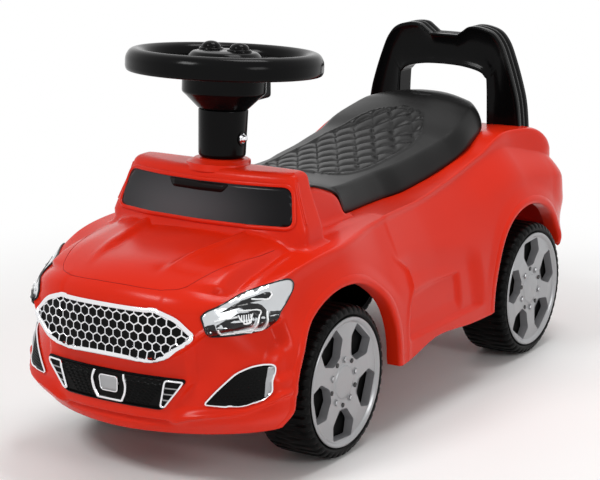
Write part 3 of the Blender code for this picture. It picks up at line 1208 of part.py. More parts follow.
def rear_axle(steel, grey):
    rod_object("rear_axle", (-AXLE_END_X, REAR_AXLE_Y, AXLE_HEIGHT), (AXLE_END_X, REAR_AXLE_Y, AXLE_HEIGHT),
               AXLE_RADIUS, 16, steel)
    bore = AXLE_RADIUS + SEAT_GAP
    for side, word in SIDES:
        face = HANGER_X + RIB_WALL + SEAT_GAP
        stop = WHEEL_BACK_X - HUB_REACH - RUN_GAP
        turned_object(f"axle_bush_{word}", [(HANGER_X - 0.002, bore), (HANGER_X - 0.002, AXLE_BUSH_RADIUS),
                                            (face, AXLE_BUSH_RADIUS), (face, AXLE_BUSH_RADIUS + 0.003),
                                            (stop, AXLE_BUSH_RADIUS + 0.003), (stop, bore)],
                      (0, REAR_AXLE_Y, AXLE_HEIGHT), (side, 0, 0), 20, grey)


def wheel(side, end, side_word, y, black, silver, steel):
    """One wheel: a blow-moulded tyre and hub, its push-on cap and its spoked cover."""
    word = f"{end}_{side_word}"
    origin = (side * WHEEL_BACK_X, y, AXLE_HEIGHT)
    axis = (side, 0, 0)
    width = TYRE_WIDTH - 0.001
    recess = RIM_RADIUS + SEAT_GAP
    floor = width - 0.011
    running = AXLE_RADIUS + SEAT_GAP
    turned_object(f"wheel_{word}", [
        (0, RIM_RADIUS - 0.001), (0, TYRE_RADIUS - 0.004), (0.005, TYRE_RADIUS), (width - 0.005, TYRE_RADIUS),
        (width, TYRE_RADIUS - 0.004),
        (width, recess), (floor, recess), (floor, running), (-HUB_REACH, running), (-HUB_REACH, HUB_RADIUS - 0.002),
        (floor - 0.004, HUB_RADIUS), (floor - 0.004, RIM_RADIUS - 0.004)], origin, axis, WHEEL_STEPS, black)
    cap_start = floor + SEAT_GAP
    turned_object(f"lock_cap_{word}", [
        (cap_start, running), (cap_start, 0.0085), (cap_start + 0.0035, 0.0075), (cap_start + 0.0050, 0.005),
        (cap_start + 0.0050, 0), (cap_start + 0.0040, 0), (cap_start + 0.0040, running)], origin, axis, 14, steel)
    face = TYRE_WIDTH
    cover = turned_object(f"hubcap_{word}", [
        (floor + 0.001, RIM_RADIUS - 0.003), (floor + 0.001, RIM_RADIUS), (face - 0.001, RIM_RADIUS),
        (face, RIM_RADIUS - 0.0025), (face - 0.003, 0.050), (face - 0.004, 0.020), (face - 0.0010, 0.0165),
        (face - 0.0008, 0), (face - 0.0042, 0), (face - 0.0062, 0.018), (face - 0.0050, RIM_RADIUS - 0.005)],
        origin, axis, WHEEL_STEPS, silver)
    for index in range(SPOKE_COUNT):
        bm = bmesh.new()
        outline = []
        for radius, degrees in WINDOW:
            angle = math.radians(WINDOW_TURNS[end] + degrees) + 2 * math.pi * index / SPOKE_COUNT
            outline.append((side * (WHEEL_FACE_X - 0.0085), y + radius * math.cos(angle),
                            AXLE_HEIGHT + radius * math.sin(angle)))
        prism(bm, outline, (side * 0.02, 0, 0))
        boolean(cover, "DIFFERENCE", add_object(f"window_{word}_{index}", bm))


def pivot(name, place, axis, pieces):
    """Parents the named pieces to an empty on their joint's axis, without moving them."""
    empty = bpy.data.objects.new(name, None)
    empty.empty_display_size = 0.02
    turn = Vector((0, 0, 1)).rotation_difference(Vector(axis)).to_matrix().to_4x4()
    empty.matrix_world = Matrix.Translation(place) @ turn
    bpy.context.collection.objects.link(empty)
    for piece in pieces:
        child = bpy.data.objects[piece]
        child.parent = empty
        child.matrix_parent_inverse = empty.matrix_world.inverted()


def add_pivots():
    """One empty for each joint, on its axis."""
    up = (0, 0, 1)
    across = (1, 0, 0)
    pivot("steering_turn_axis", column_point(SLEEVE_BOTTOM), column_axis(),
          ("steering_wheel", "hub_cover", "battery_box", "column_sleeve", "steering_rod", "column_bolt", "cap_nut"))
    for side, word in ((1, "horn"), (-1, "tune")):
        pivot(f"{word}_button_axis", column_point(HUB_TOP) + Vector((side * BUTTON_X, 0, 0)), -column_axis(),
              (f"{word}_button",))
    pivot("tie_rod_axis", (0, LINK_Y, TIE_ROD_TOP), across, ("tie_rod",))
    pivot("seat_hinge_axis", (0, SEAT_HINGE_Y, SEAT_HINGE_Z), across, ("seat_lid",))
    for side, word in SIDES:
        pivot(f"knuckle_{word}_axis", (side * KING_PIN_X, FRONT_AXLE_Y, AXLE_HEIGHT), up,
              (f"knuckle_{word}", f"stub_axle_{word}", f"lock_cap_front_{word}"))
        for end, y in (("front", FRONT_AXLE_Y), ("rear", REAR_AXLE_Y)):
            pivot(f"wheel_{end}_{word}_axis", (side * WHEEL_BACK_X, y, AXLE_HEIGHT), across,
                  (f"wheel_{end}_{word}", f"hubcap_{end}_{word}"))


def main():
    clear_scene()
    red = material("red_gloss_plastic", (0.72, 0.03, 0.015), 0.25)
    black = material("black_plastic", (0.012, 0.012, 0.013), 0.35)
    seat_black = material("seat_black_plastic", (0.03, 0.03, 0.032), 0.5)
    grey = material("grey_plastic", (0.35, 0.35, 0.36), 0.4)
    silver = material("silver_plastic", (0.42, 0.43, 0.45), 0.35)
    clear = material("lamp_plastic", (0.75, 0.77, 0.80), 0.15)
    chrome = material("chrome", (0.8, 0.8, 0.82), 0.1, 1.0)
    steel = material("steel", (0.55, 0.55, 0.57), 0.35, 1.0)
    body_shell(red)
    body_trim(black, clear)
    seat_lid(seat_black)
    hinge_pins(steel)
    storage_tub(black)
    backrest(black)
    steering_wheel(black)
    hub_cover(black)
    battery_box(black)
    steering_rod(steel)
    column_parts(black, steel, chrome, grey)
    front_beam(black)
    beam_screws(steel)
    tie_rod(black)
    rear_axle(steel, grey)
    for side, word in SIDES:
        knuckle(side, word, black, steel)
        wheel(side, "front", word, FRONT_AXLE_Y, black, silver, steel)
        wheel(side, "rear", word, REAR_AXLE_Y, black, silver, steel)
    add_pivots()


main()
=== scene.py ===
"""The looks of a foot-powered ride-on car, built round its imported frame.

Metres, +Z up, the car faces -Y and its left side is +X. The origin is on the ground under the middle.
"""
import math
from collections import namedtuple

import bmesh
import bpy
from mathutils import Matrix, Vector
from mathutils.bvhtree import BVHTree
from mathutils.geometry import delaunay_2d_cdt


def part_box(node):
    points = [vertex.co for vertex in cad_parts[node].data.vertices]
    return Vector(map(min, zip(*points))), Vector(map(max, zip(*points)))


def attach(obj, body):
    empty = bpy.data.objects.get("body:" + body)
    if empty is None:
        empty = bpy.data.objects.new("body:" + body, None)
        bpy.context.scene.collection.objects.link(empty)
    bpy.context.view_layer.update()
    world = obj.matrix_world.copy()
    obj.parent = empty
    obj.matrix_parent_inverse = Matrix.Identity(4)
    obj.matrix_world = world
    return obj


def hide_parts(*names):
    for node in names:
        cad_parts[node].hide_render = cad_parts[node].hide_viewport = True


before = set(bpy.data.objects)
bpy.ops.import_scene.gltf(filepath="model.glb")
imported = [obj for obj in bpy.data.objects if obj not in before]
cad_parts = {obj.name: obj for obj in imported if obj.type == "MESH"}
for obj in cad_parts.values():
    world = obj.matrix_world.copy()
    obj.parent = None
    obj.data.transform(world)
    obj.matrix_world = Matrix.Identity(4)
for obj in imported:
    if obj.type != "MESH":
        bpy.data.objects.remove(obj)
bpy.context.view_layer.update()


def corners(node):
    """The low and the high corner of a CAD node's box."""
    return [Vector(corner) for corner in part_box(node)]


def mm(*rows):
    """Rows of millimetres as rows of metres."""
    return [tuple(value / 1000 for value in row) for row in rows]


def keyed(*rows):
    """Rows of a bare key and millimetres, as the key and metres."""
    return [(row[0], *[value / 1000 for value in row[1:]]) for row in rows]


# Places read from the frame
SHELL_LOW, SHELL_HIGH = corners("body_shell")
TYRE_LOW, TYRE_HIGH = corners("wheel_front_left")
REAR_LOW, REAR_HIGH = corners("wheel_rear_left")
CAP_LOW, CAP_HIGH = corners("hubcap_front_left")
REST_LOW, REST_HIGH = corners("backrest")
SEAT_REAR_Y = corners("seat_lid")[1].y
TAIL_Y = SHELL_HIGH.y
LENGTH = 2 * TAIL_Y
FRONT_AXLE_Y = (TYRE_HIGH.y + TYRE_LOW.y) / 2
REAR_AXLE_Y = (REAR_HIGH.y + REAR_LOW.y) / 2
AXLE_HEIGHT = (TYRE_HIGH.z + TYRE_LOW.z) / 2
TYRE_RADIUS = AXLE_HEIGHT
WHEEL_FACE_X = CAP_HIGH.x
RIM_RADIUS = (CAP_HIGH.y - CAP_LOW.y) / 2

# Sizes
FRONT_OVERHANG = 0.1708
BODY_HALF_WIDTH = 0.138
SHELL_WALL = 0.003
WELL_HALF_WIDTH = 0.0483
WELL_FRONT_Y = -0.0453
WELL_REAR_Y = 0.1203
TYRE_WIDTH = 0.054
FRONT_ARCH_RADIUS = 0.088
REAR_ARCH_RADIUS = 0.090
REAR_ARCH_Y = REAR_AXLE_Y - 0.006
ARCH_SPREAD = 0.010
ARCH_LEG = 0.06
LIP_COVER = 0.003
HOOD_HEIGHT = 0.198
SCUTTLE_HEIGHT = 0.252
SCUTTLE_REAR_Y = -0.155
SCREEN_BOW = 0.016
SHELF_HALF_WIDTH = 0.080
SHELF_HEIGHT = 0.2335
SEAT_HALF_WIDTH = 0.0795
SEAT_BEAD_RADIUS = 0.004
SEAT_HINGE_Y = SCUTTLE_REAR_Y + SEAT_BEAD_RADIUS + 0.002
SEAT_HINGE_Z = SHELF_HEIGHT + SEAT_BEAD_RADIUS + 0.0005
SEAT_LENGTH = SEAT_REAR_Y - SEAT_HINGE_Y
BACKREST_DEPTH = 0.025
COLUMN_Y = -0.163
COLUMN_TILT = math.radians(4.0)
SLEEVE_BOTTOM = 0.256
SLEEVE_RADIUS = 0.0218
WHEEL_CENTRE_HEIGHT = 0.341
STEERING_WHEEL_RADIUS = 0.088
GRIP_WIDTH = 0.019
GRIP_HEIGHT = 0.0205
HUB_BOWL_RADIUS = 0.0375
HUB_TOP = WHEEL_CENTRE_HEIGHT + 0.004
BOWL_BOTTOM = WHEEL_CENTRE_HEIGHT - 0.042
BUTTON_RADIUS = 0.0085
BUTTON_X = 0.015
TOWER_RADIUS = SLEEVE_RADIUS + 0.0042
SEAT_NOTCH_RADIUS = TOWER_RADIUS + 0.008
BOLT_HEIGHT = SLEEVE_BOTTOM + 0.018
SPOKE_COUNT = 5
LUG_COUNT = 48
SIDES = ((1, "left"), (-1, "right"))
ARCHES = (("front", FRONT_AXLE_Y, FRONT_ARCH_RADIUS), ("rear", REAR_ARCH_Y, REAR_ARCH_RADIUS))
CLOSE = 0.0001

# Camera
CAMERA_PLACE = (0.98663, -1.60824, 0.60297)
CAMERA_AZIMUTH = math.radians(32.044)
CAMERA_ELEVATION = math.radians(13.62)
CAMERA_LENS = 120.0

# Lamps: name, place, target, size, watts
LAMPS = (("key", (-0.5, -1.7, 1.9), (0, -0.05, 0.15), (0.6, 0.5), 20.0),
         ("fill", (1.9, -0.7, 1.1), (0, 0, 0.12), (0.7, 0.6), 8.5),
         ("top", (0.2, 0.4, 2.1), (0, 0, 0.15), (0.9, 0.7), 17.0))
SOFT_LIGHT = 0.36


# Materials

def fill(node, **values):
    """Sets a node's inputs; an underscore stands for a blank in an input's name."""
    for name, value in values.items():
        node.inputs[name.replace("_", " ")].default_value = value


def add(tree, kind, socket=None, entry=0, **values):
    """Adds a shader node, with its inputs set and a socket joined to one of them."""
    node = tree.nodes.new("ShaderNode" + kind)
    fill(node, **values)
    if socket:
        tree.links.new(socket, node.inputs[entry])
    return node


def mixed(tree, share, low, high, end):
    """Mixes two shaders by a share, into the input of the tree's last node."""
    mix = add(tree, "MixShader", share)
    tree.links.new(low, mix.inputs[1])
    tree.links.new(high, mix.inputs[2])
    tree.links.new(mix.outputs["Shader"], end)


def distance_fade(tree, place, low, high):
    """Rises from 0 to 1 as a vector's length goes from low to high."""
    length = add(tree, "VectorMath", place)
    length.operation = "LENGTH"
    fade = add(tree, "MapRange", length.outputs["Value"], "Value", From_Min=low, From_Max=high)
    fade.interpolation_type = "SMOOTHSTEP"
    return fade.outputs["Result"]


def plastic(slot, colour, roughness, coat=0.0, spread=0.06, grain=900.0, bump=0.03, metallic=0.0,
            specular=0.5, shade="finish"):
    """A moulded finish of one of the record's slots: slightly uneven colour and gloss, and a fine grain."""
    made = bpy.data.materials.new(f"{slot}_{shade}")
    made["slot"] = slot
    made.use_nodes = True
    tree = made.node_tree
    shader = tree.nodes["Principled BSDF"]
    fill(shader, Metallic=metallic, Specular_IOR_Level=specular, Coat_Weight=coat, Coat_Roughness=0.06)
    place = add(tree, "TexCoord").outputs["Object"]
    cloud = add(tree, "TexNoise", place, "Vector", Scale=14.0, Detail=3.0).outputs["Fac"]
    tint = add(tree, "ValToRGB", cloud, "Fac")
    for stop, share, position in zip(tint.color_ramp.elements, (1 - spread, 1 + spread), (0.3, 0.7)):
        stop.color = (*[min(c * share, 1.0) for c in colour], 1.0)
        stop.position = position
    tree.links.new(tint.outputs["Color"], shader.inputs["Base Color"])
    gloss = add(tree, "MapRange", cloud, "Value", To_Min=roughness * 0.85, To_Max=roughness * 1.15)
    tree.links.new(gloss.outputs["Result"], shader.inputs["Roughness"])
    fine = add(tree, "TexNoise", place, "Vector", Scale=grain, Detail=2.0).outputs["Fac"]
    relief = add(tree, "Bump", fine, "Height", Strength=bump, Distance=0.0004)
    tree.links.new(relief.outputs["Normal"], shader.inputs["Normal"])
    return made


def screen_finish(dark, light, middle_z, reach):
    """The dark screen print, lighter towards its lower middle."""
    made = plastic("black_plastic", dark, 0.18, bump=0.01, specular=0.1, shade="screen")
    tree = made.node_tree
    place = add(tree, "TexCoord").outputs["Object"]
    moved = add(tree, "Mapping", place, "Vector", Location=(0.012, 0.0, -middle_z), Scale=(0.55, 0.0, 1.0))
    tint = add(tree, "ValToRGB", distance_fade(tree, moved.outputs["Vector"], 0.0, reach), "Fac")
    for stop, colour in zip(tint.color_ramp.elements, (light, dark)):
        stop.color = (*colour, 1.0)
    tree.links.new(tint.outputs["Color"], tree.nodes["Principled BSDF"].inputs["Base Color"])
    return made


RED = plastic("red_gloss_plastic", (0.70, 0.021, 0.005), 0.24, spread=0.02, bump=0.012, specular=0.13)
# A darker red for the line round the hood: painted shade standing in for the shade in its groove.
GROOVE_SHADE_RED = plastic("red_gloss_plastic", (0.42, 0.012, 0.006), 0.5, specular=0.1, shade="line")
BLACK = plastic("black_plastic", (0.0026, 0.0026, 0.0028), 0.16, bump=0.02, specular=0.08)
TYRE = plastic("black_plastic", (0.0032, 0.0032, 0.0032), 0.36, bump=0.06, specular=0.07, shade="tyre")
SEAT = plastic("seat_black_plastic", (0.0060, 0.0058, 0.0058), 0.30, bump=0.08, grain=1600.0, specular=0.13)
GREY = plastic("grey_plastic", (0.35, 0.35, 0.36), 0.4)
SILVER = plastic("silver_plastic", (0.36, 0.362, 0.372), 0.30, metallic=0.55)
# A darker copy of the silver for the inner walls of the cover's windows: painted shade.
SHADED_SILVER = plastic("silver_plastic", (0.20, 0.20, 0.21), 0.45, shade="hollow")
LAMP = plastic("lamp_plastic", (0.62, 0.64, 0.66), 0.12, coat=0.6, metallic=0.5)
LIGHT = plastic("lamp_plastic", (0.88, 0.89, 0.90), 0.2, coat=0.4, shade="light")
# Dark print on the lamps; the same black makes the discs between the wheel nuts, painted shade of the cover's
# small holes.
DARK_PRINT_AND_SHADE = plastic("black_plastic", (0.008, 0.008, 0.009), 0.14, specular=0.3, shade="lamp")
MESH = plastic("black_plastic", (0.004, 0.004, 0.004), 0.4, specular=0.06, shade="mesh")
CHROME = plastic("chrome", (0.82, 0.82, 0.84), 0.09, metallic=1.0, spread=0.02, bump=0.01)
STEEL = plastic("steel", (0.50, 0.50, 0.52), 0.32, metallic=1.0)
SCREEN = screen_finish((0.006, 0.006, 0.007), (0.085, 0.088, 0.094), 0.212, 0.060)
TAB = plastic("black_plastic", (0.006, 0.004, 0.004), 0.22, specular=0.08, shade="tab")

# CAD nodes that stay and aren't of steel
KEPT = {"storage_tub": BLACK, "front_beam": BLACK, "tie_rod": BLACK, "knuckle_left": BLACK,
        "knuckle_right": BLACK, "column_bush": GREY, "axle_bush_left": GREY, "axle_bush_right": GREY}


# Helpers

def monotone(keys, t):
    """A smooth curve through (place, value) keys that never overshoots them."""
    if t <= keys[0][0]:
        return keys[0][1]
    if t >= keys[-1][0]:
        return keys[-1][1]
    slopes = [(b[1] - a[1]) / (b[0] - a[0]) for a, b in zip(keys, keys[1:])]
    tangents = [slopes[0]]
    for before, after in zip(slopes, slopes[1:]):
        tangents.append(2 * before * after / (before + after) if before * after > 0 else 0.0)
    tangents.append(slopes[-1])
    index = max(i for i, key in enumerate(keys[:-1]) if key[0] <= t)
    start, end = keys[index], keys[index + 1]
    span = end[0] - start[0]
    s = (t - start[0]) / span
    return (start[1] * (1 + 2 * s) * (1 - s) ** 2 + tangents[index] * span * s * (1 - s) ** 2
            + end[1] * s * s * (3 - 2 * s) - tangents[index + 1] * span * s * s * (1 - s))


def smoothstep(low, high, value):
    t = min(max((value - low) / (high - low), 0.0), 1.0)
    return t * t * (3 - 2 * t)


def falling(low, high, value):
    return 1 - smoothstep(low, high, value)


def hill(distance, width):
    """A round ridge: 1 on its crest, 0 far from it."""
    return math.exp(-(distance / width) ** 2)


def eased(value, limit, reach):
    """Bends a value that nears a limit so that it stays below it."""
    start = limit - reach
    if value <= start:
        return value
    return start + reach * (1 - math.exp(-(value - start) / reach))


def quarter(steps, first=0):
    """Sine and cosine over a quarter turn."""
    turns = [math.pi / 2 * k / steps for k in range(first, steps + 1)]
    return [(math.sin(turn), math.cos(turn)) for turn in turns]


def piece(name, bm, finish, body="chassis", node=None, angle=38.0, orient=True):
    """Makes a piece from a bmesh, rides it on its body and gives it its finish."""
    if orient:
        bmesh.ops.recalc_face_normals(bm, faces=bm.faces)
    made = built(name, bm)
    soften(made.data, angle)
    made.data.materials.append(finish)
    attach(made, body)
    if node:
        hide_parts(node)
    return made


def placed(name, data):
    """Puts a new object into the scene."""
    made = bpy.data.objects.new(name, data)
    bpy.context.collection.objects.link(made)
    return made


def built(name, bm):
    """Turns a bmesh into an object in the scene."""
    mesh = bpy.data.meshes.new(name)
    bm.to_mesh(mesh)
    bm.free()
    return placed(name, mesh)


def soften(mesh, angle):
    """Smooth shading, with edges over an angle in degrees kept sharp."""
    mesh.shade_smooth()
    mesh.set_sharp_from_angle(angle=math.radians(angle))


def modify(made, kind, **settings):
    """Adds a modifier, named by its kind in small letters."""
    change = made.modifiers.new(kind.lower(), kind)
    for name, value in settings.items():
        setattr(change, name, value)
    return made


def bevel(made, width, segments=2, angle=40.0):
    return modify(made, "BEVEL", width=width, segments=segments, limit_method="ANGLE",
                  angle_limit=math.radians(angle), harden_normals=False)


def solidify(made, thickness):
    return modify(made, "SOLIDIFY", thickness=thickness, offset=-1.0)


def round_corners(points, radius, steps=5, closed=True):
    """A polygon whose corners are turned into soft arcs."""
    made = []
    count = len(points)
    for i, corner in enumerate(points):
        here = Vector(corner)
        if not closed and i in (0, count - 1):
            made.append(here)
            continue
        before = Vector(points[i - 1]) - here
        after = Vector(points[(i + 1) % count]) - here
        reach = min(radius, 0.45 * before.length, 0.45 * after.length)
        start = here + before.normalized() * reach
        end = here + after.normalized() * reach
        for k in range(steps + 1):
            t = k / steps
            made.append(start * (1 - t) ** 2 + here * 2 * t * (1 - t) + end * t * t)
    return made


def smooth_profile(points, radius, steps=5):
    return [tuple(p) for p in round_corners(points, radius, steps)]


def densify(points, spacing, closed=True):
    """Adds points so that no step of a path is longer than the spacing."""
    made = []
    stops = [Vector(p) for p in points]
    if closed:
        stops.append(stops[0])
    for start, end in zip(stops, stops[1:]):
        count = max(1, math.ceil((end - start).length / spacing))
        made += [start.lerp(end, k / count) for k in range(count)]
    return made if closed else made + [stops[-1]]


def inside(point, polygon):
    x, y = point[0], point[1]
    crossed = False
    for a, b in zip(polygon, polygon[1:] + polygon[:1]):
        if (a[1] > y) != (b[1] > y) and x < (b[0] - a[0]) * (y - a[1]) / (b[1] - a[1]) + a[0]:
            crossed = not crossed
    return crossed


def mirrored_row(half):
    """A row of (x, z) points from the middle outwards, with its mirror image before it."""
    return [(-x, z) for x, z in reversed(half[1:])] + half


def prism(bm, outline, lift):
    """A closed straight extrusion of outline points by the vector lift."""
    low = [bm.verts.new(p) for p in outline]
    high = [bm.verts.new(Vector(p) + Vector(lift)) for p in outline]
    bm.faces.new(low)
    bm.faces.new(list(reversed(high)))
    for i in range(len(low)):
        j = (i + 1) % len(low)
        bm.faces.new((low[i], low[j], high[j], high[i]))


def add_box(bm, low, high):
    spots = ((low[0], low[1]), (high[0], low[1]), (high[0], high[1]), (low[0], high[1]))
    prism(bm, [(x, y, low[2]) for x, y in spots], (0, 0, high[2] - low[2]))


def grid_faces(bm, rows, wrap=False):
    """Faces between rows of vertices."""
    for low, high in zip(rows, rows[1:]):
        for i in range(len(low) if wrap else len(low) - 1):
            j = (i + 1) % len(low)
            corner = list(dict.fromkeys((low[i], low[j], high[j], high[i])))
            if len(corner) > 2:
                bm.faces.new(corner)


def loft(bm, rows):
    """A skin over rings of vertices, closed at both ends."""
    grid_faces(bm, rows, wrap=True)
    bm.faces.new(rows[0])
    bm.faces.new(rows[-1])


def revolve(bm, profile, origin, axis, steps):
    """A turned form: profile is a closed list of (along, radius) round the axis."""
    axis = Vector(axis).normalized()
    side = axis.cross(Vector((0, 0, 1) if abs(axis.z) < 0.9 else (0, 1, 0))).normalized()
    other = axis.cross(side)
    rows = []
    for along, radius in profile:
        centre = Vector(origin) + axis * along
        if radius < 1e-6:
            rows.append([bm.verts.new(centre)] * steps)
            continue
        rows.append([bm.verts.new(centre + radius * (side * math.cos(a) + other * math.sin(a)))
                     for a in (2 * math.pi * i / steps for i in range(steps))])
    grid_faces(bm, rows + rows[:1], wrap=True)


def tube(bm, path, radius, steps=8, closed=False, flat=1.0):
    """A round bar along (place, normal) pairs; flat squeezes it along the normal."""
    count = len(path)
    rows = []
    for i, (place, normal) in enumerate(path):
        before = path[i - 1][0] if closed or i else place
        after = path[(i + 1) % count][0] if closed or i + 1 < count else place
        across = (after - before).normalized().cross(normal).normalized()
        up = normal * (radius * flat)
        across *= radius
        rows.append([bm.verts.new(place + up * math.cos(a) + across * math.sin(a))
                     for a in (2 * math.pi * k / steps for k in range(steps))])
    if closed:
        grid_faces(bm, rows + rows[:1], wrap=True)
    else:
        loft(bm, rows)


def cut_hole(bm, hidden, move):
    """Deletes the faces that lie whole in a set of vertices and moves the rest of it to the hole's edge."""
    gone = [f for f in bm.faces if all(v in hidden for v in f.verts)]
    bmesh.ops.delete(bm, geom=gone, context="FACES")
    for vertex in [v for v in hidden if v.is_valid]:
        move(vertex.co)


def drop_loose(bm):
    bmesh.ops.delete(bm, geom=[v for v in bm.verts if not v.link_faces], context="VERTS")


def face_outwards(bm, probe):
    """Turns all faces over where probe, how far a chosen vertex's normal points outwards, is negative."""
    bmesh.ops.recalc_face_normals(bm, faces=bm.faces)
    bm.normal_update()
    if probe(bm) < 0:
        bmesh.ops.reverse_faces(bm, faces=bm.faces)
        bm.normal_update()


def tree_of(made):
    bpy.context.view_layer.update()
    return BVHTree.FromObject(made, bpy.context.evaluated_depsgraph_get())


def caster(tree, start, direction):
    """A function that drops a point onto a surface; start turns two numbers into the ray's start."""
    direction = Vector(direction)

    def drop(a, b):
        origin = Vector(start(a, b))
        place, normal = tree.ray_cast(origin, direction)[:2]
        if place is None:
            place, normal = tree.find_nearest(origin + direction * 0.25)[:2]
        return place, normal if normal.dot(direction) < 0 else -normal
    return drop


def downwards(made):
    return caster(tree_of(made), lambda x, y: (x, y, 0.4), (0, 0, -1))


def backwards(made):
    return caster(tree_of(made), lambda x, z: (x, -0.6, z), (0, 1, 0))


def plate(name, outline, drop, lift, thickness, finish, node=None, spacing=0.0035):
    """A thin plate over an outline of two coordinates, dropped onto a surface."""
    border = densify(outline, spacing)
    polygon = [tuple(p) for p in border]
    low, high = [[pick(p[k] for p in polygon) for k in (0, 1)] for pick in (min, max)]
    points = [Vector(p) for p in polygon]
    steps = [max(1, int((high[k] - low[k]) / spacing)) for k in (0, 1)]
    for i in range(1, steps[0]):
        for j in range(1, steps[1]):
            spot = Vector([low[k] + (high[k] - low[k]) * step / steps[k] for k, step in ((0, i), (1, j))])
            if inside(spot, polygon) and min((spot - p).length for p in border) > spacing * 0.45:
                points.append(spot)
    count = len(border)
    edges = [(i, (i + 1) % count) for i in range(count)]
    verts, _, faces = delaunay_2d_cdt(points, edges, [list(range(count))], 1, 1e-7, False)[:3]
    bm = bmesh.new()
    made = []
    for spot in verts:
        place, normal = drop(*spot)
        made.append(bm.verts.new(place + normal * (lift + thickness)))
    for face in faces:
        bm.faces.new([made[i] for i in face])
    bm.normal_update()
    outward = drop(*verts[0])[1]
    if sum(f.normal.dot(outward) * f.calc_area() for f in bm.faces) < 0:
        bmesh.ops.reverse_faces(bm, faces=bm.faces)
    return solidify(piece(name, bm, finish, node=node, orient=False), thickness)


def bead(bm, drop, outline, lift, radius, steps=8, closed=True, flat=1.0, spacing=0.002):
    """A round bar along an outline that lies on a surface."""
    path = []
    for spot in densify(outline, spacing, closed):
        place, normal = drop(*spot)
        path.append((place + normal * lift, normal))
    tube(bm, path, radius, steps, closed, flat)


def bead_piece(name, finish, *bead_facts, **more):
    """A piece that is one bead."""
    bm = bmesh.new()
    bead(bm, *bead_facts, **more)
    return piece(name, bm, finish)


def scaled(points, sign):
    return [(sign * x, z) for x, z in points]


def inset_polygon(points, distance):
    """Moves each corner of a polygon inwards along the bisector of its sides."""
    count = len(points)
    area = sum(points[i][0] * points[(i + 1) % count][1] - points[(i + 1) % count][0] * points[i][1]
               for i in range(count))
    turn = 1 if area > 0 else -1
    made = []
    for i in range(count):
        here = Vector(points[i])
        before = (here - Vector(points[i - 1])).normalized()
        after = (Vector(points[(i + 1) % count]) - here).normalized()
        inward = Vector((-before.y - after.y, before.x + after.x)) * turn
        share = max(inward.length / 2, 0.35)
        made.append(tuple(here + inward.normalized() * (distance / share)))
    return made


# Body surface

NOSE_Y = FRONT_AXLE_Y - FRONT_OVERHANG
FLANK_FRONT = FRONT_AXLE_Y - 0.078
FLANK_REAR = REAR_AXLE_Y + 0.055
FLANK_PLACES = (FLANK_FRONT, FRONT_AXLE_Y, FRONT_AXLE_Y + 0.085, FRONT_AXLE_Y + 0.185, REAR_AXLE_Y - 0.098,
                REAR_AXLE_Y, FLANK_REAR)

# Each rail runs round the car at one share of the wall's height. It has its inset from the widest line
# at each flank place, and how far its nose and tail are set back, each with its squareness.
Rail = namedtuple("Rail", "share insets nose nose_power tail tail_power")
RAILS = (Rail(0.00, (0.012, 0.001, 0.000, 0.000, 0.001, 0.010, 0.012), 0.014, 1.8, 0.010, 2.6),
         Rail(0.17, (0.003, 0.000, 0.000, 0.001, 0.002, 0.008, 0.009), 0.007, 2.2, 0.001, 3.2),
         Rail(0.45, (0.004, 0.000, 0.001, 0.006, 0.006, 0.007, 0.010), 0.004, 2.3, 0.000, 3.2),
         Rail(0.76, (0.007, 0.003, 0.013, 0.021, 0.020, 0.016, 0.019), 0.000, 2.3, 0.010, 3.0),
         Rail(1.00, (0.013, 0.010, 0.026, 0.036, 0.039, 0.038, 0.040), 0.001, 2.3, 0.026, 2.8))
HEM_HEIGHTS = ((NOSE_Y, 0.050), (FLANK_FRONT, 0.052), (FRONT_AXLE_Y + 0.100, 0.061),
               (FRONT_AXLE_Y + 0.165, 0.072), (REAR_AXLE_Y - 0.143, 0.067), (REAR_AXLE_Y - 0.110, 0.066),
               (REAR_AXLE_Y, 0.080), (REAR_AXLE_Y + 0.076, 0.097), (TAIL_Y, 0.099))
DECK_FRONT_Y = SCUTTLE_REAR_Y + 0.057
DECK_PLACES = (NOSE_Y, NOSE_Y + 0.040, NOSE_Y + 0.090, NOSE_Y + 0.145, DECK_FRONT_Y,
               *[NOSE_Y + share * LENGTH for share in (0.500, 0.604, 0.707, 0.796, 0.870, 0.944)], TAIL_Y)

# Millimetres over the hood's height at the deck's places, in the middle and at the side
CENTRE_RISES = (-14, -7, -2, 2, 0, 0, 4, 14, 27, 27, 18, 8)
SIDE_RISES = (-24, -18, -10, -5, -3, -3.5, 3.5, 17, 32, 29, 15, 4)
CENTRE_HEIGHTS, SIDE_HEIGHTS = [[(y, HOOD_HEIGHT + rise / 1000) for y, rise in zip(DECK_PLACES, rises)]
                                for rises in (CENTRE_RISES, SIDE_RISES)]
EDGE_DROPS = ((NOSE_Y, 0.022), (NOSE_Y + 0.060, 0.016), (NOSE_Y + 0.140, 0.010), (DECK_FRONT_Y, 0.006),
              (0.140, 0.006), (0.200, 0.014), (0.290, 0.030), (TAIL_Y, 0.034))
DECK_ROUNDINGS = (0.050, 0.018, 0.050)
NOSE_STEPS = 84
FLANK_STEPS = 200
WALL_STEPS = 84

# Lines of the body: heights over x on the nose, places over y or z elsewhere
CREASE_LINE = mm((-310, 37), (-265, 41), (-240, 45), (-205, 50), (-185, 53))
LIP_LINE = mm((0, 116.8), (23.5, 117.5), (51.7, 120.5), (67.3, 126.5), (80.7, 136.6), (92.1, 145.5),
              (109.4, 147.5), (121.4, 146.8), (130, 142))
CORNER_LINE = mm((50, 62), (67.6, 68.6), (80.9, 71.5), (102.9, 74.5), (122.3, 79), (132, 86))
RIB_LINE = mm((62, -58.5), (96, -60), (115, -56.5), (130, -49.5), (143, -49), (158, -64))
PANEL_TOP = mm((-60, 150), (-36, 152), (7, 148), (46, 143), (82, 136))
SWEEP_LOW = mm((-62, 112), (-27.5, 116.5), (4.6, 119), (35.7, 120), (52, 119.6))
SWEEP_HIGH = mm((-62, 116), (-47, 122.5), (-13.8, 126.2), (16.8, 124.4), (52, 119.9))

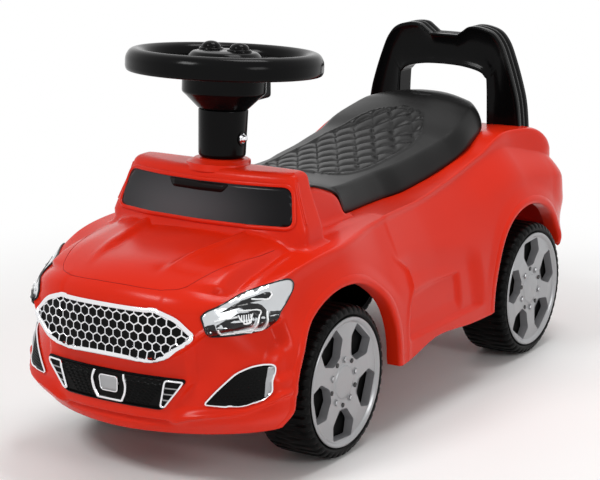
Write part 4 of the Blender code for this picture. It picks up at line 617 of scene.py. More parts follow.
# Heights and depths of the relief
PLATEAU_RISE = 0.0042
CREASE_RISE = 0.0012
FENDER_RISE = 0.0014
NOSE_DEPTH = 0.0042
POCKET_FOOT = 0.0030
POCKET_DEEPER = 0.0068
NOSE_CREST = 0.0030
CORNER_RIDGE = 0.0040
NOSE_GROOVE = 0.0034
DENT_DEPTH = 0.0007
PANEL_DEPTH = 0.0055
STEP_DEPTH = 0.0030
FLANK_CREST = 0.0026
FLARE_RISE = 0.0018

# The front fenders' shoulders: x, y, z, and how far the shoulder lies inside a square one there
SHOULDER_CUTS = mm((123.5, -100, 193, 2), (123.5, -130, 192, 3.5), (123.5, -157, 190, 4.8),
                   (122, -184, 189, 5.8), (120, -210, 186, 7), (120, -235, 181, 8.6),
                   (115.5, -248, 178, 10.6), (116.5, -265, 171, 14.5), (109.5, -287, 163.5, 12),
                   (113.5, -289, 153, 8.2), (96.7, -313, 147.5, 1), (89, -321.5, 143.5, -4.8),
                   (112, -292, 121, -3.8), (129.4, -272.4, 99.6, -1.2))
SHOULDER_REACH = 0.030
SHOULDER_CORE_X = 0.045
SHOULDER_CORE_Z = 0.090

# How far the tail's corners stand out over the height
TAIL_PUSHES = mm((95, 0), (122, -5.5), (150, 0), (166, 6.5), (178, 12.5), (189, 16.5), (210, 19))


def rail_width(rail, y):
    return BODY_HALF_WIDTH - monotone(list(zip(FLANK_PLACES, rail.insets)), y)


def rail_point(rail, u):
    """A rail's plan point: u runs 0 to 1 round the nose, 1 to 2 along the flank, 2 to 3 round the tail."""
    if 1 < u <= 2:
        y = FLANK_FRONT + (FLANK_REAR - FLANK_FRONT) * (u - 1)
        return rail_width(rail, y), y
    if u <= 1:
        start, end, angle, power = FLANK_FRONT, NOSE_Y + rail.nose, u * math.pi / 2, 2 / rail.nose_power
    else:
        start, end, angle, power = FLANK_REAR, TAIL_Y - rail.tail, (3 - u) * math.pi / 2, 2 / rail.tail_power
    return (rail_width(rail, start) * math.sin(angle) ** power,
            start + (end - start) * max(math.cos(angle), 0) ** power)


def deck_height(x, y):
    """The height of the hood and deck before their edges are rounded."""
    side = rail_width(RAILS[-1], min(max(y, FLANK_FRONT), FLANK_REAR))
    across = smoothstep(0.0, side, abs(x))
    return monotone(CENTRE_HEIGHTS, y) * (1 - across) + monotone(SIDE_HEIGHTS, y) * across


def edge_rounding(*distances):
    """Runs from 1 on the edge of the deck to 0 inside it; told the distances from nose, side and tail."""
    left = 1.0
    for distance, reach in zip(distances, DECK_ROUNDINGS):
        share = min(max(distance / reach, 0.0), 1.0)
        left *= math.sqrt(max(1 - (1 - share) ** 2, 0.0))
    return 1 - left


def deck_point(across, along):
    """A point of the top: across runs from 0 in the middle to 1 at the flank, along from nose to tail."""
    front, rear, side, first, last, nose, tail = [rail_point(RAILS[-1], u)
                                                  for u in (across, 3 - across, 1 + along, 1, 2, 0, 3)]
    centre = (0.0, nose[1] + (tail[1] - nose[1]) * along)
    x, y = [(1 - along) * front[k] + along * rear[k] + (1 - across) * centre[k] + across * side[k]
            - (1 - along) * ((1 - across) * nose[k] + across * first[k])
            - along * ((1 - across) * tail[k] + across * last[k]) for k in (0, 1)]
    rounding = edge_rounding(y - front[1] if along > 0 else 0.0, side[0] * (1 - across),
                             rear[1] - y if along < 1 else 0.0)
    return Vector((x, y, deck_height(x, y) - monotone(EDGE_DROPS, y) * rounding))


def wall_column(u):
    """The points of the side wall at u, from the hem up to the deck's edge."""
    plans = [(rail.share, *rail_point(rail, u)) for rail in RAILS]
    xs, ys = [[(plan[0], plan[k]) for plan in plans] for k in (1, 2)]
    top = deck_point(min(u, 3 - u, 1.0), min(max(u - 1, 0.0), 1.0)).z
    made = []
    for step in range(WALL_STEPS + 1):
        share = step / WALL_STEPS
        y = monotone(ys, share)
        low = monotone(HEM_HEIGHTS, y)
        made.append(Vector((monotone(xs, share), y, low + (top - low) * share)))
    return made


def deck_relief(x, y):
    """The raised and sunk lines of the hood."""
    line = monotone(CREASE_LINE, y)
    fade = smoothstep(-0.318, -0.262, y) * falling(-0.150, -0.120, y)
    plateau = smoothstep(line - 0.0055, line + 0.0005, x) * falling(0.062, 0.094, x)
    fender = hill(x - 0.0975, 0.0035) * smoothstep(-0.285, -0.255, y) * falling(-0.215, -0.190, y)
    crease = hill(x - line - 0.002, 0.0032)
    return fade * (PLATEAU_RISE * plateau + CREASE_RISE * crease) + FENDER_RISE * fender


def nose_relief(x, z):
    """The lip under the grille, the sunk bumper with its corner pockets, and the ridge below them."""
    lip = monotone(LIP_LINE, x)
    below = smoothstep(lip + 0.0005, lip - 0.0040, z)
    edge = 0.0545 + min(max((z - 0.0727) * 0.76, 0.0), 0.0200)
    pocket = smoothstep(edge - 0.002, edge + 0.006, x) * falling(0.1255, 0.1325, x)
    depth = NOSE_DEPTH * (1 - pocket) * smoothstep(0.096, 0.106, z)
    depth += pocket * (POCKET_FOOT + POCKET_DEEPER * smoothstep(0.074, 0.118, z))
    depth *= below * smoothstep(0.0715, 0.0790, z)
    crest = NOSE_CREST * hill(z - lip - 0.0020, 0.0030) * falling(0.120, 0.132, x)
    ridge = CORNER_RIDGE * hill(z - monotone(CORNER_LINE, x), 0.0028) * smoothstep(0.050, 0.062, x)
    groove = NOSE_GROOVE * hill(z - 0.0610, 0.0020) * falling(0.050, 0.058, x)
    dent = DENT_DEPTH * smoothstep(0.0072, 0.0058, math.hypot(x, z - 0.1690))
    return crest + ridge - depth - groove - dent


def flank_relief(y, z):
    """The sunk door panel with its step, the edge of the front fender and the flares of both arches."""
    rib = monotone(RIB_LINE, z)
    front = smoothstep(rib - 0.001, rib + 0.0035, y)
    rear = falling(0.070, 0.096, y + 0.10 * (z - 0.10))
    top = monotone(PANEL_TOP, y)
    panel = front * rear * smoothstep(0.0795, 0.0830, z) * falling(top - 0.016, top + 0.008, z)
    low, high = monotone(SWEEP_LOW, y), monotone(SWEEP_HIGH, y)
    step = front * falling(0.044, 0.054, y) * falling(low, max(high, low + 0.002), z)
    step *= smoothstep(0.080, 0.098, z)
    crest = hill(y - rib + 0.0025, 0.0028) * smoothstep(0.058, 0.066, z) * falling(0.140, 0.165, z)
    flare = 0.0
    for _, centre, radius in ARCHES:
        away = math.hypot(y - centre, max(z - AXLE_HEIGHT, 0.0)) - radius
        flare += FLARE_RISE * falling(0.004, 0.020, away)
    return FLANK_CREST * crest + flare - PANEL_DEPTH * panel - STEP_DEPTH * step


def relief(point, normal):
    """How far the surface stands out at a point: hood lines on top, nose and flank lines on the wall."""
    x, y, z = abs(point.x), point.y, point.z
    up = smoothstep(0.45, 0.75, normal.z)
    nose = falling(-0.262, -0.250, y)
    flank = smoothstep(-0.262, -0.240, y)
    return up * deck_relief(x, y) + (1 - up) * (nose * nose_relief(x, z) + flank * flank_relief(y, z))


def arch_outline(y, radius, steps=48):
    """The side view of a wheel arch: a round top whose legs open out towards the ground."""
    turns = [math.pi * i / steps for i in range(steps + 1)]
    points = [(y - radius * math.cos(turn), AXLE_HEIGHT + radius * math.sin(turn)) for turn in turns]
    spread = radius + ARCH_SPREAD
    return [(y - spread, AXLE_HEIGHT - ARCH_LEG), *points, (y + spread, AXLE_HEIGHT - ARCH_LEG)]


def onto_arch(y, z, centre, radius):
    """The point of an arch's outline nearest to a point inside it."""
    if z > AXLE_HEIGHT:
        away = math.hypot(y - centre, z - AXLE_HEIGHT)
        return centre + (y - centre) * radius / away, AXLE_HEIGHT + (z - AXLE_HEIGHT) * radius / away
    side = 1 if y > centre else -1
    return centre + side * (radius + ARCH_SPREAD * (AXLE_HEIGHT - z) / ARCH_LEG), z


def half_body(bm):
    """The left half of the body's outer surface, as a grid that runs round the car and over its top."""
    places = [i / NOSE_STEPS for i in range(NOSE_STEPS)]
    places += [1 + i / FLANK_STEPS for i in range(FLANK_STEPS)]
    places += [2 + i / NOSE_STEPS for i in range(NOSE_STEPS + 1)]
    wall = [[bm.verts.new(p) for p in wall_column(u)] for u in places]
    grid_faces(bm, wall)
    edge = [column[-1] for column in wall]
    top = []
    for i in range(NOSE_STEPS):
        line = [bm.verts.new(deck_point(i / NOSE_STEPS, j / FLANK_STEPS)) for j in range(1, FLANK_STEPS)]
        top.append([edge[i], *line, edge[-1 - i]])
    top.append(edge[NOSE_STEPS:NOSE_STEPS + FLANK_STEPS + 1])
    grid_faces(bm, top)


def cut_well(bm):
    """Opens the deck over the storage tub."""
    hidden = {v for v in bm.verts
              if v.co.z > 0.15 and v.co.x < WELL_HALF_WIDTH and WELL_FRONT_Y < v.co.y < WELL_REAR_Y}

    def move(place):
        edges = ((WELL_HALF_WIDTH, 0), (WELL_FRONT_Y, 1), (WELL_REAR_Y, 1))
        edge, axis = min(edges, key=lambda choice: abs(place[choice[1]] - choice[0]))
        place[axis] = edge
    cut_hole(bm, hidden, move)


def cut_arch(bm, centre, radius):
    """Opens the wall in front of a wheel."""
    outline = arch_outline(centre, radius)
    hidden = {v for v in bm.verts if v.co.x > 0.085 and inside((v.co.y, v.co.z), outline)}

    def move(place):
        place.y, place.z = onto_arch(place.y, place.z, centre, radius)
    cut_hole(bm, hidden, move)


def shoulder_move(point):
    """The way from a square front fender to the real one, which leans in towards the hood."""
    total, weight = 0.0, 0.45
    for x, y, z, amount in SHOULDER_CUTS:
        share = math.exp(-(point - Vector((x, y, z))).length_squared / SHOULDER_REACH ** 2)
        total += share * amount
        weight += share
    core = Vector((SHOULDER_CORE_X, point.y + 0.040, SHOULDER_CORE_Z))
    fade = smoothstep(0.082, 0.100, point.x) if point.z > 0.178 else 1.0
    return (core - point).normalized() * (total / weight * 1.25 * fade)


def tail_move(point):
    """The way from a round rear corner to the real one, which stays full up to the seat."""
    share = smoothstep(0.205, 0.300, point.y) * smoothstep(0.035, 0.095, point.x)
    return Vector((0.85, 0.53, 0.0)) * (monotone(TAIL_PUSHES, point.z) * share)


def body_skin():
    """The body's wall with its relief, its wheel openings and the mouth of the storage well."""
    bm = bmesh.new()
    half_body(bm)
    face_outwards(bm, lambda made: -min(made.verts, key=lambda v: v.co.y).normal.y)
    for vertex in bm.verts:
        if vertex.co.y < -0.06 and vertex.co.x > 0.05:
            vertex.co += shoulder_move(vertex.co)
        elif vertex.co.y > 0.2:
            vertex.co += tail_move(vertex.co)
    bm.normal_update()
    moves = []
    for vertex in bm.verts:
        normal = vertex.normal.copy()
        if vertex.co.x < CLOSE:
            normal.x = 0.0
            normal.normalize()
        moves.append(vertex.co + normal * relief(vertex.co, normal))
    for vertex, place in zip(bm.verts, moves):
        x = eased(place.x, SHELL_HIGH.x - 0.0003, 0.003) if place.x >= CLOSE else 0.0
        y = -eased(-place.y, -SHELL_LOW.y - 0.0006, 0.0018)
        vertex.co = (x, eased(y, TAIL_Y - 0.0004, 0.003), place.z)
    for _, centre, radius in ARCHES:
        cut_arch(bm, centre, radius + LIP_COVER)
    cut_well(bm)
    drop_loose(bm)
    made = piece("body_skin", bm, RED, node="body_shell", angle=60.0, orient=False)
    modify(made, "MIRROR", merge_threshold=CLOSE)
    return solidify(made, SHELL_WALL)


# An arch lip's section: away from the opening's edge, and out of the body's surface
ARCH_LIP = mm((8.5, -0.4), (7, 0.6), (4.5, 1.5), (2.2, 1.7), (0.4, 0.9), (-0.6, -0.8), (-0.8, -3.5),
              (-0.8, -14), (1.8, -14), (1.8, -3))


def arch_lips(tree):
    """The rolled lip and inner flange round each wheel opening."""
    for side, word in SIDES:
        drop = caster(tree, lambda y, z: (side * 0.3, y, z), (-side, 0, 0))
        for place, centre, radius in ARCHES:
            line = [Vector(p) for p in arch_outline(centre, radius, 72)]
            for end, index in ((-1, 0), (1, -1)):
                hem = monotone(HEM_HEIGHTS, centre + end * (radius + 0.004)) + 0.0006
                line[index] = Vector(onto_arch(centre + end * radius * 0.5, hem, centre, radius))
            line = densify(line, 0.004, closed=False)
            bm = bmesh.new()
            rows = []
            for i, point in enumerate(line):
                along = (line[min(i + 1, len(line) - 1)] - line[max(i - 1, 0)]).normalized()
                out = Vector((-along.y, along.x))
                base = drop(*(point + out * 0.0035))[0].x
                row = []
                for away, height in ARCH_LIP:
                    spot = point + out * away
                    surface = drop(*spot)[0].x if away > 0.003 else base
                    reach = eased(abs(surface) + height, SHELL_HIGH.x, 0.002)
                    row.append(bm.verts.new((side * reach, *spot)))
                rows.append(row)
            loft(bm, rows)
            piece(f"arch_lip_{place}_{word}", bm, RED, angle=50.0)


def inner_frame():
    """Inside the moulding: axle hangers, beam towers, the backrest's sockets and the column's boss."""
    bm = bmesh.new()
    for side, _ in SIDES:
        for inner, outer, y, reach, low, high in (
                (0.060, 0.065, REAR_AXLE_Y, 0.020, AXLE_HEIGHT - 0.013, 0.196),
                (0.036, 0.044, FRONT_AXLE_Y, 0.022, 0.0943, 0.196),
                (0.057, 0.087, REST_LOW.y + BACKREST_DEPTH / 2, BACKREST_DEPTH / 2, 0.200, 0.2105)):
            xs = sorted((side * inner, side * outer))
            add_box(bm, (xs[0], y - reach, low), (xs[1], y + reach, high))
    boss = [(-0.030, 0.0123), (-0.030, 0.015), (-0.003, 0.015), (-0.003, 0.0123)]
    revolve(bm, boss, column_point(SCUTTLE_HEIGHT), COLUMN_AXIS, 32)
    bevel(piece("inner_frame", bm, RED), 0.0008)


# Steering column's axis

COLUMN_AXIS = Vector((0, math.sin(COLUMN_TILT), math.cos(COLUMN_TILT)))


def column_point(height):
    return Vector((0, COLUMN_Y + (height - SLEEVE_BOTTOM) * math.tan(COLUMN_TILT), height))


def on_column(bm, profile, steps):
    """A turned solid on the column: (height, radius) pairs."""
    revolve(bm, [((height - SLEEVE_BOTTOM) / math.cos(COLUMN_TILT), radius) for height, radius in profile],
            column_point(SLEEVE_BOTTOM), COLUMN_AXIS, steps)


# Hump with the windscreen, shelf and column collar

HUMP_HALVES = mm((184, 107), (202, 104), (218, 98), (235, 91), (248, 87), (252, 85.5))
HUMP_FRONTS = mm((184, -196), (202, -190), (218, -186), (235, -182), (248, -179), (252, -178))
HUMP_FOOT = 0.204
HUMP_STEPS = 26
HUMP_CREST = 0.0055


def hump_contour(height, angle, grow=0.0):
    """A point of the hump's plan at a height; the angle runs round a rounded rectangle."""
    half = monotone(HUMP_HALVES, height) + grow
    front = monotone(HUMP_FRONTS, height) - grow
    rear = SCUTTLE_REAR_Y + grow
    half_y = (rear - front) / 2
    c, s = math.cos(angle), math.sin(angle)
    x = half * math.copysign(abs(c) ** (2 / 9 if s > 0 else 0.18), c)
    y = half_y * math.copysign(abs(s) ** (2 / 9), s)
    bow = SCREEN_BOW * (1 - min(abs(x) / half, 1.0) ** 2) * smoothstep(half_y, -half_y, y)
    return x, (front + rear) / 2 + y - bow


def hump_skin(drop):
    """The hump between hood and seat, with a hollow fillet round its foot and a round crest."""
    bm = bmesh.new()
    top = SCUTTLE_HEIGHT - 0.0003
    middle = (monotone(HUMP_FRONTS, top) + SCUTTLE_REAR_Y) / 2 - 0.004
    rows = []

    def ring(place, *facts):
        angles = [math.pi / 2 * (k + 0.5 - 0.5 * math.cos(math.pi * i / HUMP_STEPS))
                  for k in range(4) for i in range(HUMP_STEPS)]
        rows.append([bm.verts.new(place(angle, *facts)) for angle in angles])

    def foot(angle, grow=0.0, rise=0.0):
        x, y = hump_contour(HUMP_FOOT, angle, grow)
        return x, y, drop(x, y)[0].z + rise

    def wall(angle, share):
        start = foot(angle)[2] + 0.0060
        height = start + (top - HUMP_CREST - start) * share
        return (*hump_contour(height, angle), height)

    def crest(angle, sine, cosine):
        height = top - HUMP_CREST + HUMP_CREST * sine
        return (*hump_contour(height, angle, -HUMP_CREST * (1 - cosine)), height)

    def roof(angle, share):
        x, y = hump_contour(top, angle, -HUMP_CREST)
        return x * share, middle + (y - middle) * share, top + 0.0004 * (1 - share)

    for grow, rise in mm((7.5, -0.4), (5, 0.2), (3, 1.2), (1.4, 2.8), (0.4, 5.2)):
        ring(foot, grow, rise)
    for i in range(1, 9):
        ring(wall, i / 8)
    for sine, cosine in quarter(5, 1):
        ring(crest, sine, cosine)
    for share in (0.85, 0.6, 0.3):
        ring(roof, share)
    grid_faces(bm, rows, wrap=True)
    bm.faces.new(rows[-1])
    return piece("hump_skin", bm, RED, angle=60.0)


def pillar_beads():
    """Two fine lines down each front corner of the hump."""
    bm = bmesh.new()
    for side, _ in SIDES:
        outward = Vector((side, -0.25, 0)).normalized()
        for angle in (-0.30, -0.16):
            path = []
            for i in range(15):
                height = 0.2105 + 0.034 * i / 14
                x, y = hump_contour(height, angle)
                path.append((Vector((side * x, y, height)), outward))
            tube(bm, path, 0.0009)
    piece("pillar_beads", bm, RED)


SHELF_PROFILE = mm((-4, 0), (18, 0), (30, -2.5), (44, -7.5), (53, -11), (61, -16.5), (66.5, -23.5), (71, -30),
                   (75.5, -36), (78, -45.5))
SHELF_CORNER = 0.007


def shelf_skin(drop):
    """The rounded step that carries the front of the seat."""
    bm = bmesh.new()
    rows = []
    flat = SHELF_HALF_WIDTH - SHELF_CORNER
    for i in range(41):
        y = -0.010 + 0.0875 * i / 40
        top = SHELF_HEIGHT + monotone(SHELF_PROFILE, y) - 0.0002
        side = top - SHELF_CORNER
        half = [(share * flat, top) for share in (0.0, 0.2, 0.4, 0.6, 0.8)]
        half += [(flat + SHELF_CORNER * sine, side + SHELF_CORNER * cosine) for sine, cosine in quarter(5)]

        def ground(grow):
            return drop(SHELF_HALF_WIDTH + grow, SCUTTLE_REAR_Y + y)[0].z
        foot = min(ground(0.0) + 0.006, side - 0.0005)
        half += [(SHELF_HALF_WIDTH + 0.0006, (foot + side) / 2), (SHELF_HALF_WIDTH + 0.0012, foot)]
        for grow, rise in mm((2.6, 3), (4.8, 1), (8.5, -0.5)):
            half.append((SHELF_HALF_WIDTH + grow, ground(grow) + rise))
        rows.append([bm.verts.new((x, SCUTTLE_REAR_Y + y, z)) for x, z in mirrored_row(half)])
    grid_faces(bm, rows)
    return solidify(piece("shelf_skin", bm, RED, angle=60.0), 0.0015)


def collar():
    """The collar in front of the column, cut back to the tower's radius behind it."""
    bm = bmesh.new()
    base = SCUTTLE_HEIGHT
    high = SLEEVE_BOTTOM - 0.0006
    profile = [(base - 0.006, 0.0), (base - 0.006, 0.0330), (base - 0.0002, 0.0310), (base + 0.0008, 0.0280),
               (base + 0.0022, 0.0258), (high - 0.0004, 0.0246), (high, 0.0238), (high, 0.0130),
               (base - 0.004, 0.0128), (base - 0.004, 0.0)]
    on_column(bm, profile, 72)
    for vertex in bm.verts:
        middle = column_point(vertex.co.z).y
        away = Vector((vertex.co.x, vertex.co.y - middle))
        spare = away.length - TOWER_RADIUS
        if spare > 0:
            away = away.normalized() * (TOWER_RADIUS + spare * falling(-0.006, 0.010, away.y))
            vertex.co.x, vertex.co.y = away.x, away.y + middle
    piece("column_collar", bm, RED, angle=50.0)


def tower():
    """The round tower between the shelf and the collar."""
    bm = bmesh.new()
    low = SHELF_HEIGHT - 0.010
    high = SCUTTLE_HEIGHT - 0.0001
    on_column(bm, [(low, 0.013), (low, TOWER_RADIUS), (high - 0.0029, TOWER_RADIUS),
                   (high - 0.0008, TOWER_RADIUS - 0.0009), (high, TOWER_RADIUS - 0.003), (high, 0.013)], 64)
    piece("column_tower", bm, RED, angle=50.0)


def hinge_lugs():
    """The two lugs on the shelf that hold the seat's hinge pins."""
    bm = bmesh.new()
    radius = SEAT_BEAD_RADIUS - 0.0005
    turns = [math.pi * i / 16 for i in range(17)]
    outline = [(SEAT_HINGE_Y + radius * math.cos(turn), SEAT_HINGE_Z + radius * math.sin(turn))
               for turn in turns]
    outline += [(SEAT_HINGE_Y + end * radius, SHELF_HEIGHT - 0.002) for end in (-1, 1)]
    for side, _ in SIDES:
        prism(bm, [(side * 0.050 - 0.0035, y, z) for y, z in outline], (0.007, 0, 0))
    bevel(piece("hinge_lugs", bm, RED), 0.0004)


# Nose: grilles, vents and lamps, whose outlines are told along the lamp's own slanted face

UPPER_GRILLE = mm((-82, 139.5), (-66, 154.5), (-50, 160.5), (50, 160.5), (66, 154.5), (82, 139.5),
                  (61, 124.5), (46, 118.5), (-46, 118.5), (-61, 124.5))
LOWER_GRILLE = mm((-72, 102), (72, 102), (50, 75), (-50, 75))
INTAKE_FRAME = mm((54.5, 100), (70, 100), (52.5, 77.5), (49, 77.5))
INTAKE_ARC = mm((15, 100), (17.5, 93), (16.5, 85), (12.5, 77.5))
INTAKE_SLATS = mm((83.5, 50.2, 57), (89, 51.8, 61.2), (94.5, 53.2, 65.5))
INTAKE_PLATE = mm((-8.5, 84.5), (8.5, 84.5), (9.5, 97.5), (-9.5, 97.5))
SIDE_VENT = mm((83, 81), (92, 92.5), (104.5, 107.5), (113, 112), (125.5, 111.5), (126.8, 90), (123.5, 83.5),
               (110, 79))
VENT_STRIP = mm((121.5, 110), (125.2, 110), (126.2, 90.5), (122.5, 85), (121.8, 86))
LAMP_TURN = math.radians(40.0)
HEADLAMP = mm((-140.7, 157.4), (-136, 161.1), (-106.5, 169.8), (-92.1, 172.6), (-65.9, 177), (-61.2, 175.6),
              (-58.8, 171.5), (-59.5, 166.9), (-66.3, 157.8), (-73.8, 150.5), (-81.8, 141), (-87.5, 138.4),
              (-106.8, 138), (-121.8, 138.3), (-132.9, 138.6), (-136.7, 144.8))
LAMP_FIELDS = (mm((-127.4, 159.1), (-120.1, 161.7), (-109.7, 164.8), (-97.9, 166.9), (-84.8, 169.7),
                  (-80.8, 169.3), (-80, 167.6), (-82.6, 165.3), (-95.6, 165.7), (-103.6, 165), (-110.9, 164),
                  (-112.4, 161.1), (-119.6, 159.8)),
               mm((-111, 163.2), (-101.3, 163.9), (-92.7, 162.8), (-89, 160.8), (-85.4, 156.2),
                  (-85.2, 152.8), (-87, 147.5), (-89.1, 142.6), (-93, 143.8), (-91.8, 151.6), (-90, 155),
                  (-92.9, 159.3), (-100.2, 161.1), (-107.5, 161.3)),
               mm((-128.6, 149.8), (-121.4, 151.8), (-111.7, 153.7), (-109.6, 157.5), (-94.6, 156.7),
                  (-94.4, 153.2), (-97.2, 149), (-100.5, 145.7), (-112.6, 144), (-122, 142.9), (-126.2, 146)),
               mm((-81.8, 154), (-72.1, 152.3), (-75.3, 149.3), (-81.8, 141.8), (-84.3, 149.7)),
               mm((-137.2, 148.6), (-130.2, 150.3), (-128.4, 145.7), (-124.5, 140.4), (-132.2, 139.6),
                  (-135.5, 144.8)))
LAMP_GUIDES = (mm((-110.1, 159.2), (-93.5, 158), (-90.5, 156.4), (-90.4, 154.3), (-93.7, 149.8),
                  (-96.7, 143.5), (-104, 142.9), (-113.9, 144.3)),
               mm((-84.6, 154.5), (-85.2, 148.6), (-85.9, 142.5), (-88.2, 140.6), (-95, 139.6),
                  (-113.4, 140.2), (-120.6, 140.5), (-124.3, 142.3), (-127.4, 147.9)),
               mm((-130, 152.9), (-120.5, 154.1), (-111, 154.5)),
               mm((-98, 166), (-83.2, 164.8), (-79.9, 167.6), (-81.1, 169.7)),
               mm((-110.2, 156), (-108.3, 151.5), (-104.8, 149.9), (-100.5, 149.8), (-98.5, 152.2),
                  (-97.4, 155.7)))
LAMP_RIBS = mm((-107.2, 151.7, 155.6), (-105.2, 150.4, 155.5), (-103.2, 150.2, 155.4), (-101.2, 150.2, 155.3),
               (-99.4, 152, 155.2))
SCREEN_OUTLINE = mm((-92.5, 207.5), (92.5, 207.5), (84.5, 240.5), (-84.5, 240.5))
SCREEN_TAB = mm((-34, 239.8), (30, 239.8), (24, 232), (-29, 232))
SCREEN_RIM = mm((-94, 206.1), (94, 206.1), (85.8, 241.9), (-85.8, 241.9))
SHUT_LINE = mm((88, -214), (86, -238), (80, -265), (73.5, -290), (66.5, -308), (60, -316.5), (48, -322.2),
               (28, -326.2))
HONEYCOMB_PITCH = 0.0084
HONEYCOMB_FOOT = 0.1155
SHORTEST_BAR = 0.0006


def clipped(start, end, field):
    """The part of a line that lies in a polygon, or nothing where that is too short to show."""
    kept = [inside(p, field) for p in (start, end)]
    if not any(kept):
        return None
    if not all(kept):
        start, out = (start, end) if kept[0] else (end, start)
        low, high = 0.0, 1.0
        for _ in range(8):
            middle = (low + high) / 2
            if inside(start.lerp(out, middle), field):
                low = middle
            else:
                high = middle
        end = start.lerp(out, low)
    return (start, end) if (end - start).length >= SHORTEST_BAR else None


def upper_grille(drop):
    """One wide chromed frame round a honeycomb."""
    border = round_corners(UPPER_GRILLE, 0.005)
    plate("grille_back", border, drop, -0.0002, 0.0012, MESH, node="upper_grille")
    bead_piece("grille_frame", CHROME, drop, border, 0.0016, 0.0021, 10, flat=0.8)
    field = inset_polygon(border, 0.0012)
    corner = HONEYCOMB_PITCH / math.sqrt(3)
    bm = bmesh.new()
    for row in range(-1, 8):
        for column in range(-11, 12):
            x = (column + 0.5 * (row % 2)) * HONEYCOMB_PITCH
            z = HONEYCOMB_FOOT + row * 1.5 * corner
            spots = [Vector((x + corner * math.sin(math.pi / 3 * k), z + corner * math.cos(math.pi / 3 * k)))
                     for k in range(4)]
            for start, end in zip(spots, spots[1:]):
                bar = clipped(start, end, field)
                if bar:
                    bead(bm, drop, bar, 0.0013, 0.00062, 6, closed=False, spacing=0.01)
    piece("grille_honeycomb", bm, CHROME)


def lower_grille(drop):
    """The bumper's intake: wavy mesh, a slatted chromed frame at each end and a plate in the middle."""
    border = round_corners(LOWER_GRILLE, 0.004)
    plate("intake_back", border, drop, -0.0002, 0.0010, MESH, node="lower_grille")
    bm = bmesh.new()
    for row in range(9):
        z = 0.0785 + row * 0.0026
        half = 0.0355 + (z - 0.075) * 0.80
        line = [(-half + 2 * half * i / 110, z + 0.0005 * math.sin(i * 0.9)) for i in range(111)]
        for side, _ in SIDES:
            part = [(x, z) for x, z in line if side * x > 0.0175]
            bead(bm, drop, part, 0.0010, 0.0005, 5, closed=False, spacing=0.01)
    piece("intake_mesh", bm, BLACK)
    bead_piece("intake_edge", BLACK, drop, border, 0.0009, 0.0009)
    bm = bmesh.new()
    slats = bmesh.new()
    for side, _ in SIDES:
        bead(bm, drop, round_corners(scaled(INTAKE_FRAME, side), 0.002), 0.0016, 0.0010)
        for z, start, end in INTAKE_SLATS:
            bead(slats, drop, [(side * start, z), (side * end, z)], 0.0012, 0.0006, 6, closed=False)
    for side, _ in SIDES:
        arc = round_corners(scaled(INTAKE_ARC, side), 0.004, closed=False)
        bead(bm, drop, arc, 0.0016, 0.0013, closed=False)
    foot = INTAKE_ARC[-1]
    bead(bm, drop, [(-foot[0], foot[1]), foot], 0.0016, 0.0013, closed=False)
    piece("intake_frames", bm, CHROME)
    piece("intake_slats", slats, SILVER)
    pad = round_corners(INTAKE_PLATE, 0.003)
    plate("intake_plate", pad, drop, 0.0006, 0.0014, SILVER, spacing=0.003)
    bead_piece("intake_plate_edge", CHROME, drop, pad, 0.0018, 0.0006)


def side_vent(drop, side, word):
    """The corner vent: dark mesh in a chromed edge, with a silver strip outboard."""
    border = round_corners(scaled(SIDE_VENT, side), 0.0035)
    plate(f"vent_back_{word}", border, drop, 0.0, 0.0012, MESH, node=f"side_vent_{word}")
    bead_piece(f"vent_frame_{word}", CHROME, drop, border, 0.0013, 0.0009)
    strip = round_corners(scaled(VENT_STRIP, side), 0.001)
    plate(f"vent_strip_{word}", strip, drop, 0.0010, 0.0008, SILVER, spacing=0.003)
    field = inset_polygon(border, 0.0022)
    bm = bmesh.new()
    for row in range(14):
        z = 0.0815 + row * 0.0023
        for column in range(16):
            x = side * (0.086 + (column + 0.5 * (row % 2)) * 0.0026)
            if abs(x) <= 0.1195 and inside((x, z), field):
                bead(bm, drop, [(x - 0.0007, z), (x + 0.0007, z)], 0.0014, 0.0004, 5, closed=False)
    piece(f"vent_mesh_{word}", bm, BLACK)


def lamp_caster(tree, side):
    """Drops a lamp's points, told along its own slanted face, onto the body."""
    along = Vector((side * math.cos(LAMP_TURN), math.sin(LAMP_TURN), 0.0))
    inward = Vector((-side * math.sin(LAMP_TURN), math.cos(LAMP_TURN), 0.0))
    return caster(tree, lambda s, z: along * s - inward * 0.5 + Vector((0, 0, z)), inward)


def headlamp(drop, word):
    """A lamp unit: a bright bowl with dark fields, light guides and a ribbed lens in the middle."""
    border = round_corners(HEADLAMP, 0.0022)
    plate(f"lamp_bowl_{word}", border, drop, 0.0, 0.0014, LAMP, node=f"headlamp_{word}", spacing=0.0025)
    bead_piece(f"lamp_edge_{word}", DARK_PRINT_AND_SHADE, drop, border, 0.0008, 0.0009)
    for index, points in enumerate(LAMP_FIELDS):
        plate(f"lamp_field_{index}_{word}", round_corners(points, 0.0008), drop, 0.0011, 0.0006, DARK_PRINT_AND_SHADE,
              spacing=0.0022)
    bm = bmesh.new()
    for points in LAMP_GUIDES:
        bead(bm, drop, round_corners(points, 0.0015, closed=False), 0.0019, 0.00075, closed=False)
    for along, low, high in LAMP_RIBS:
        bead(bm, drop, [(along, low), (along, high)], 0.0019, 0.00055, 6, closed=False)
    piece(f"lamp_guide_{word}", bm, LIGHT)


def windscreen(drop):
    """The dark screen with a darker tab at its top and a soft frame round it."""
    border = round_corners(SCREEN_OUTLINE, 0.008)
    plate("windscreen_skin", border, drop, 0.0, 0.0012, SCREEN, node="windscreen_panel", spacing=0.004)
    plate("windscreen_tab", round_corners(SCREEN_TAB, 0.003), drop, 0.0011, 0.0004, TAB, spacing=0.004)
    bead_piece("windscreen_rim", RED, drop, round_corners(SCREEN_RIM, 0.009), 0.0006, 0.0019, 10, flat=0.8)


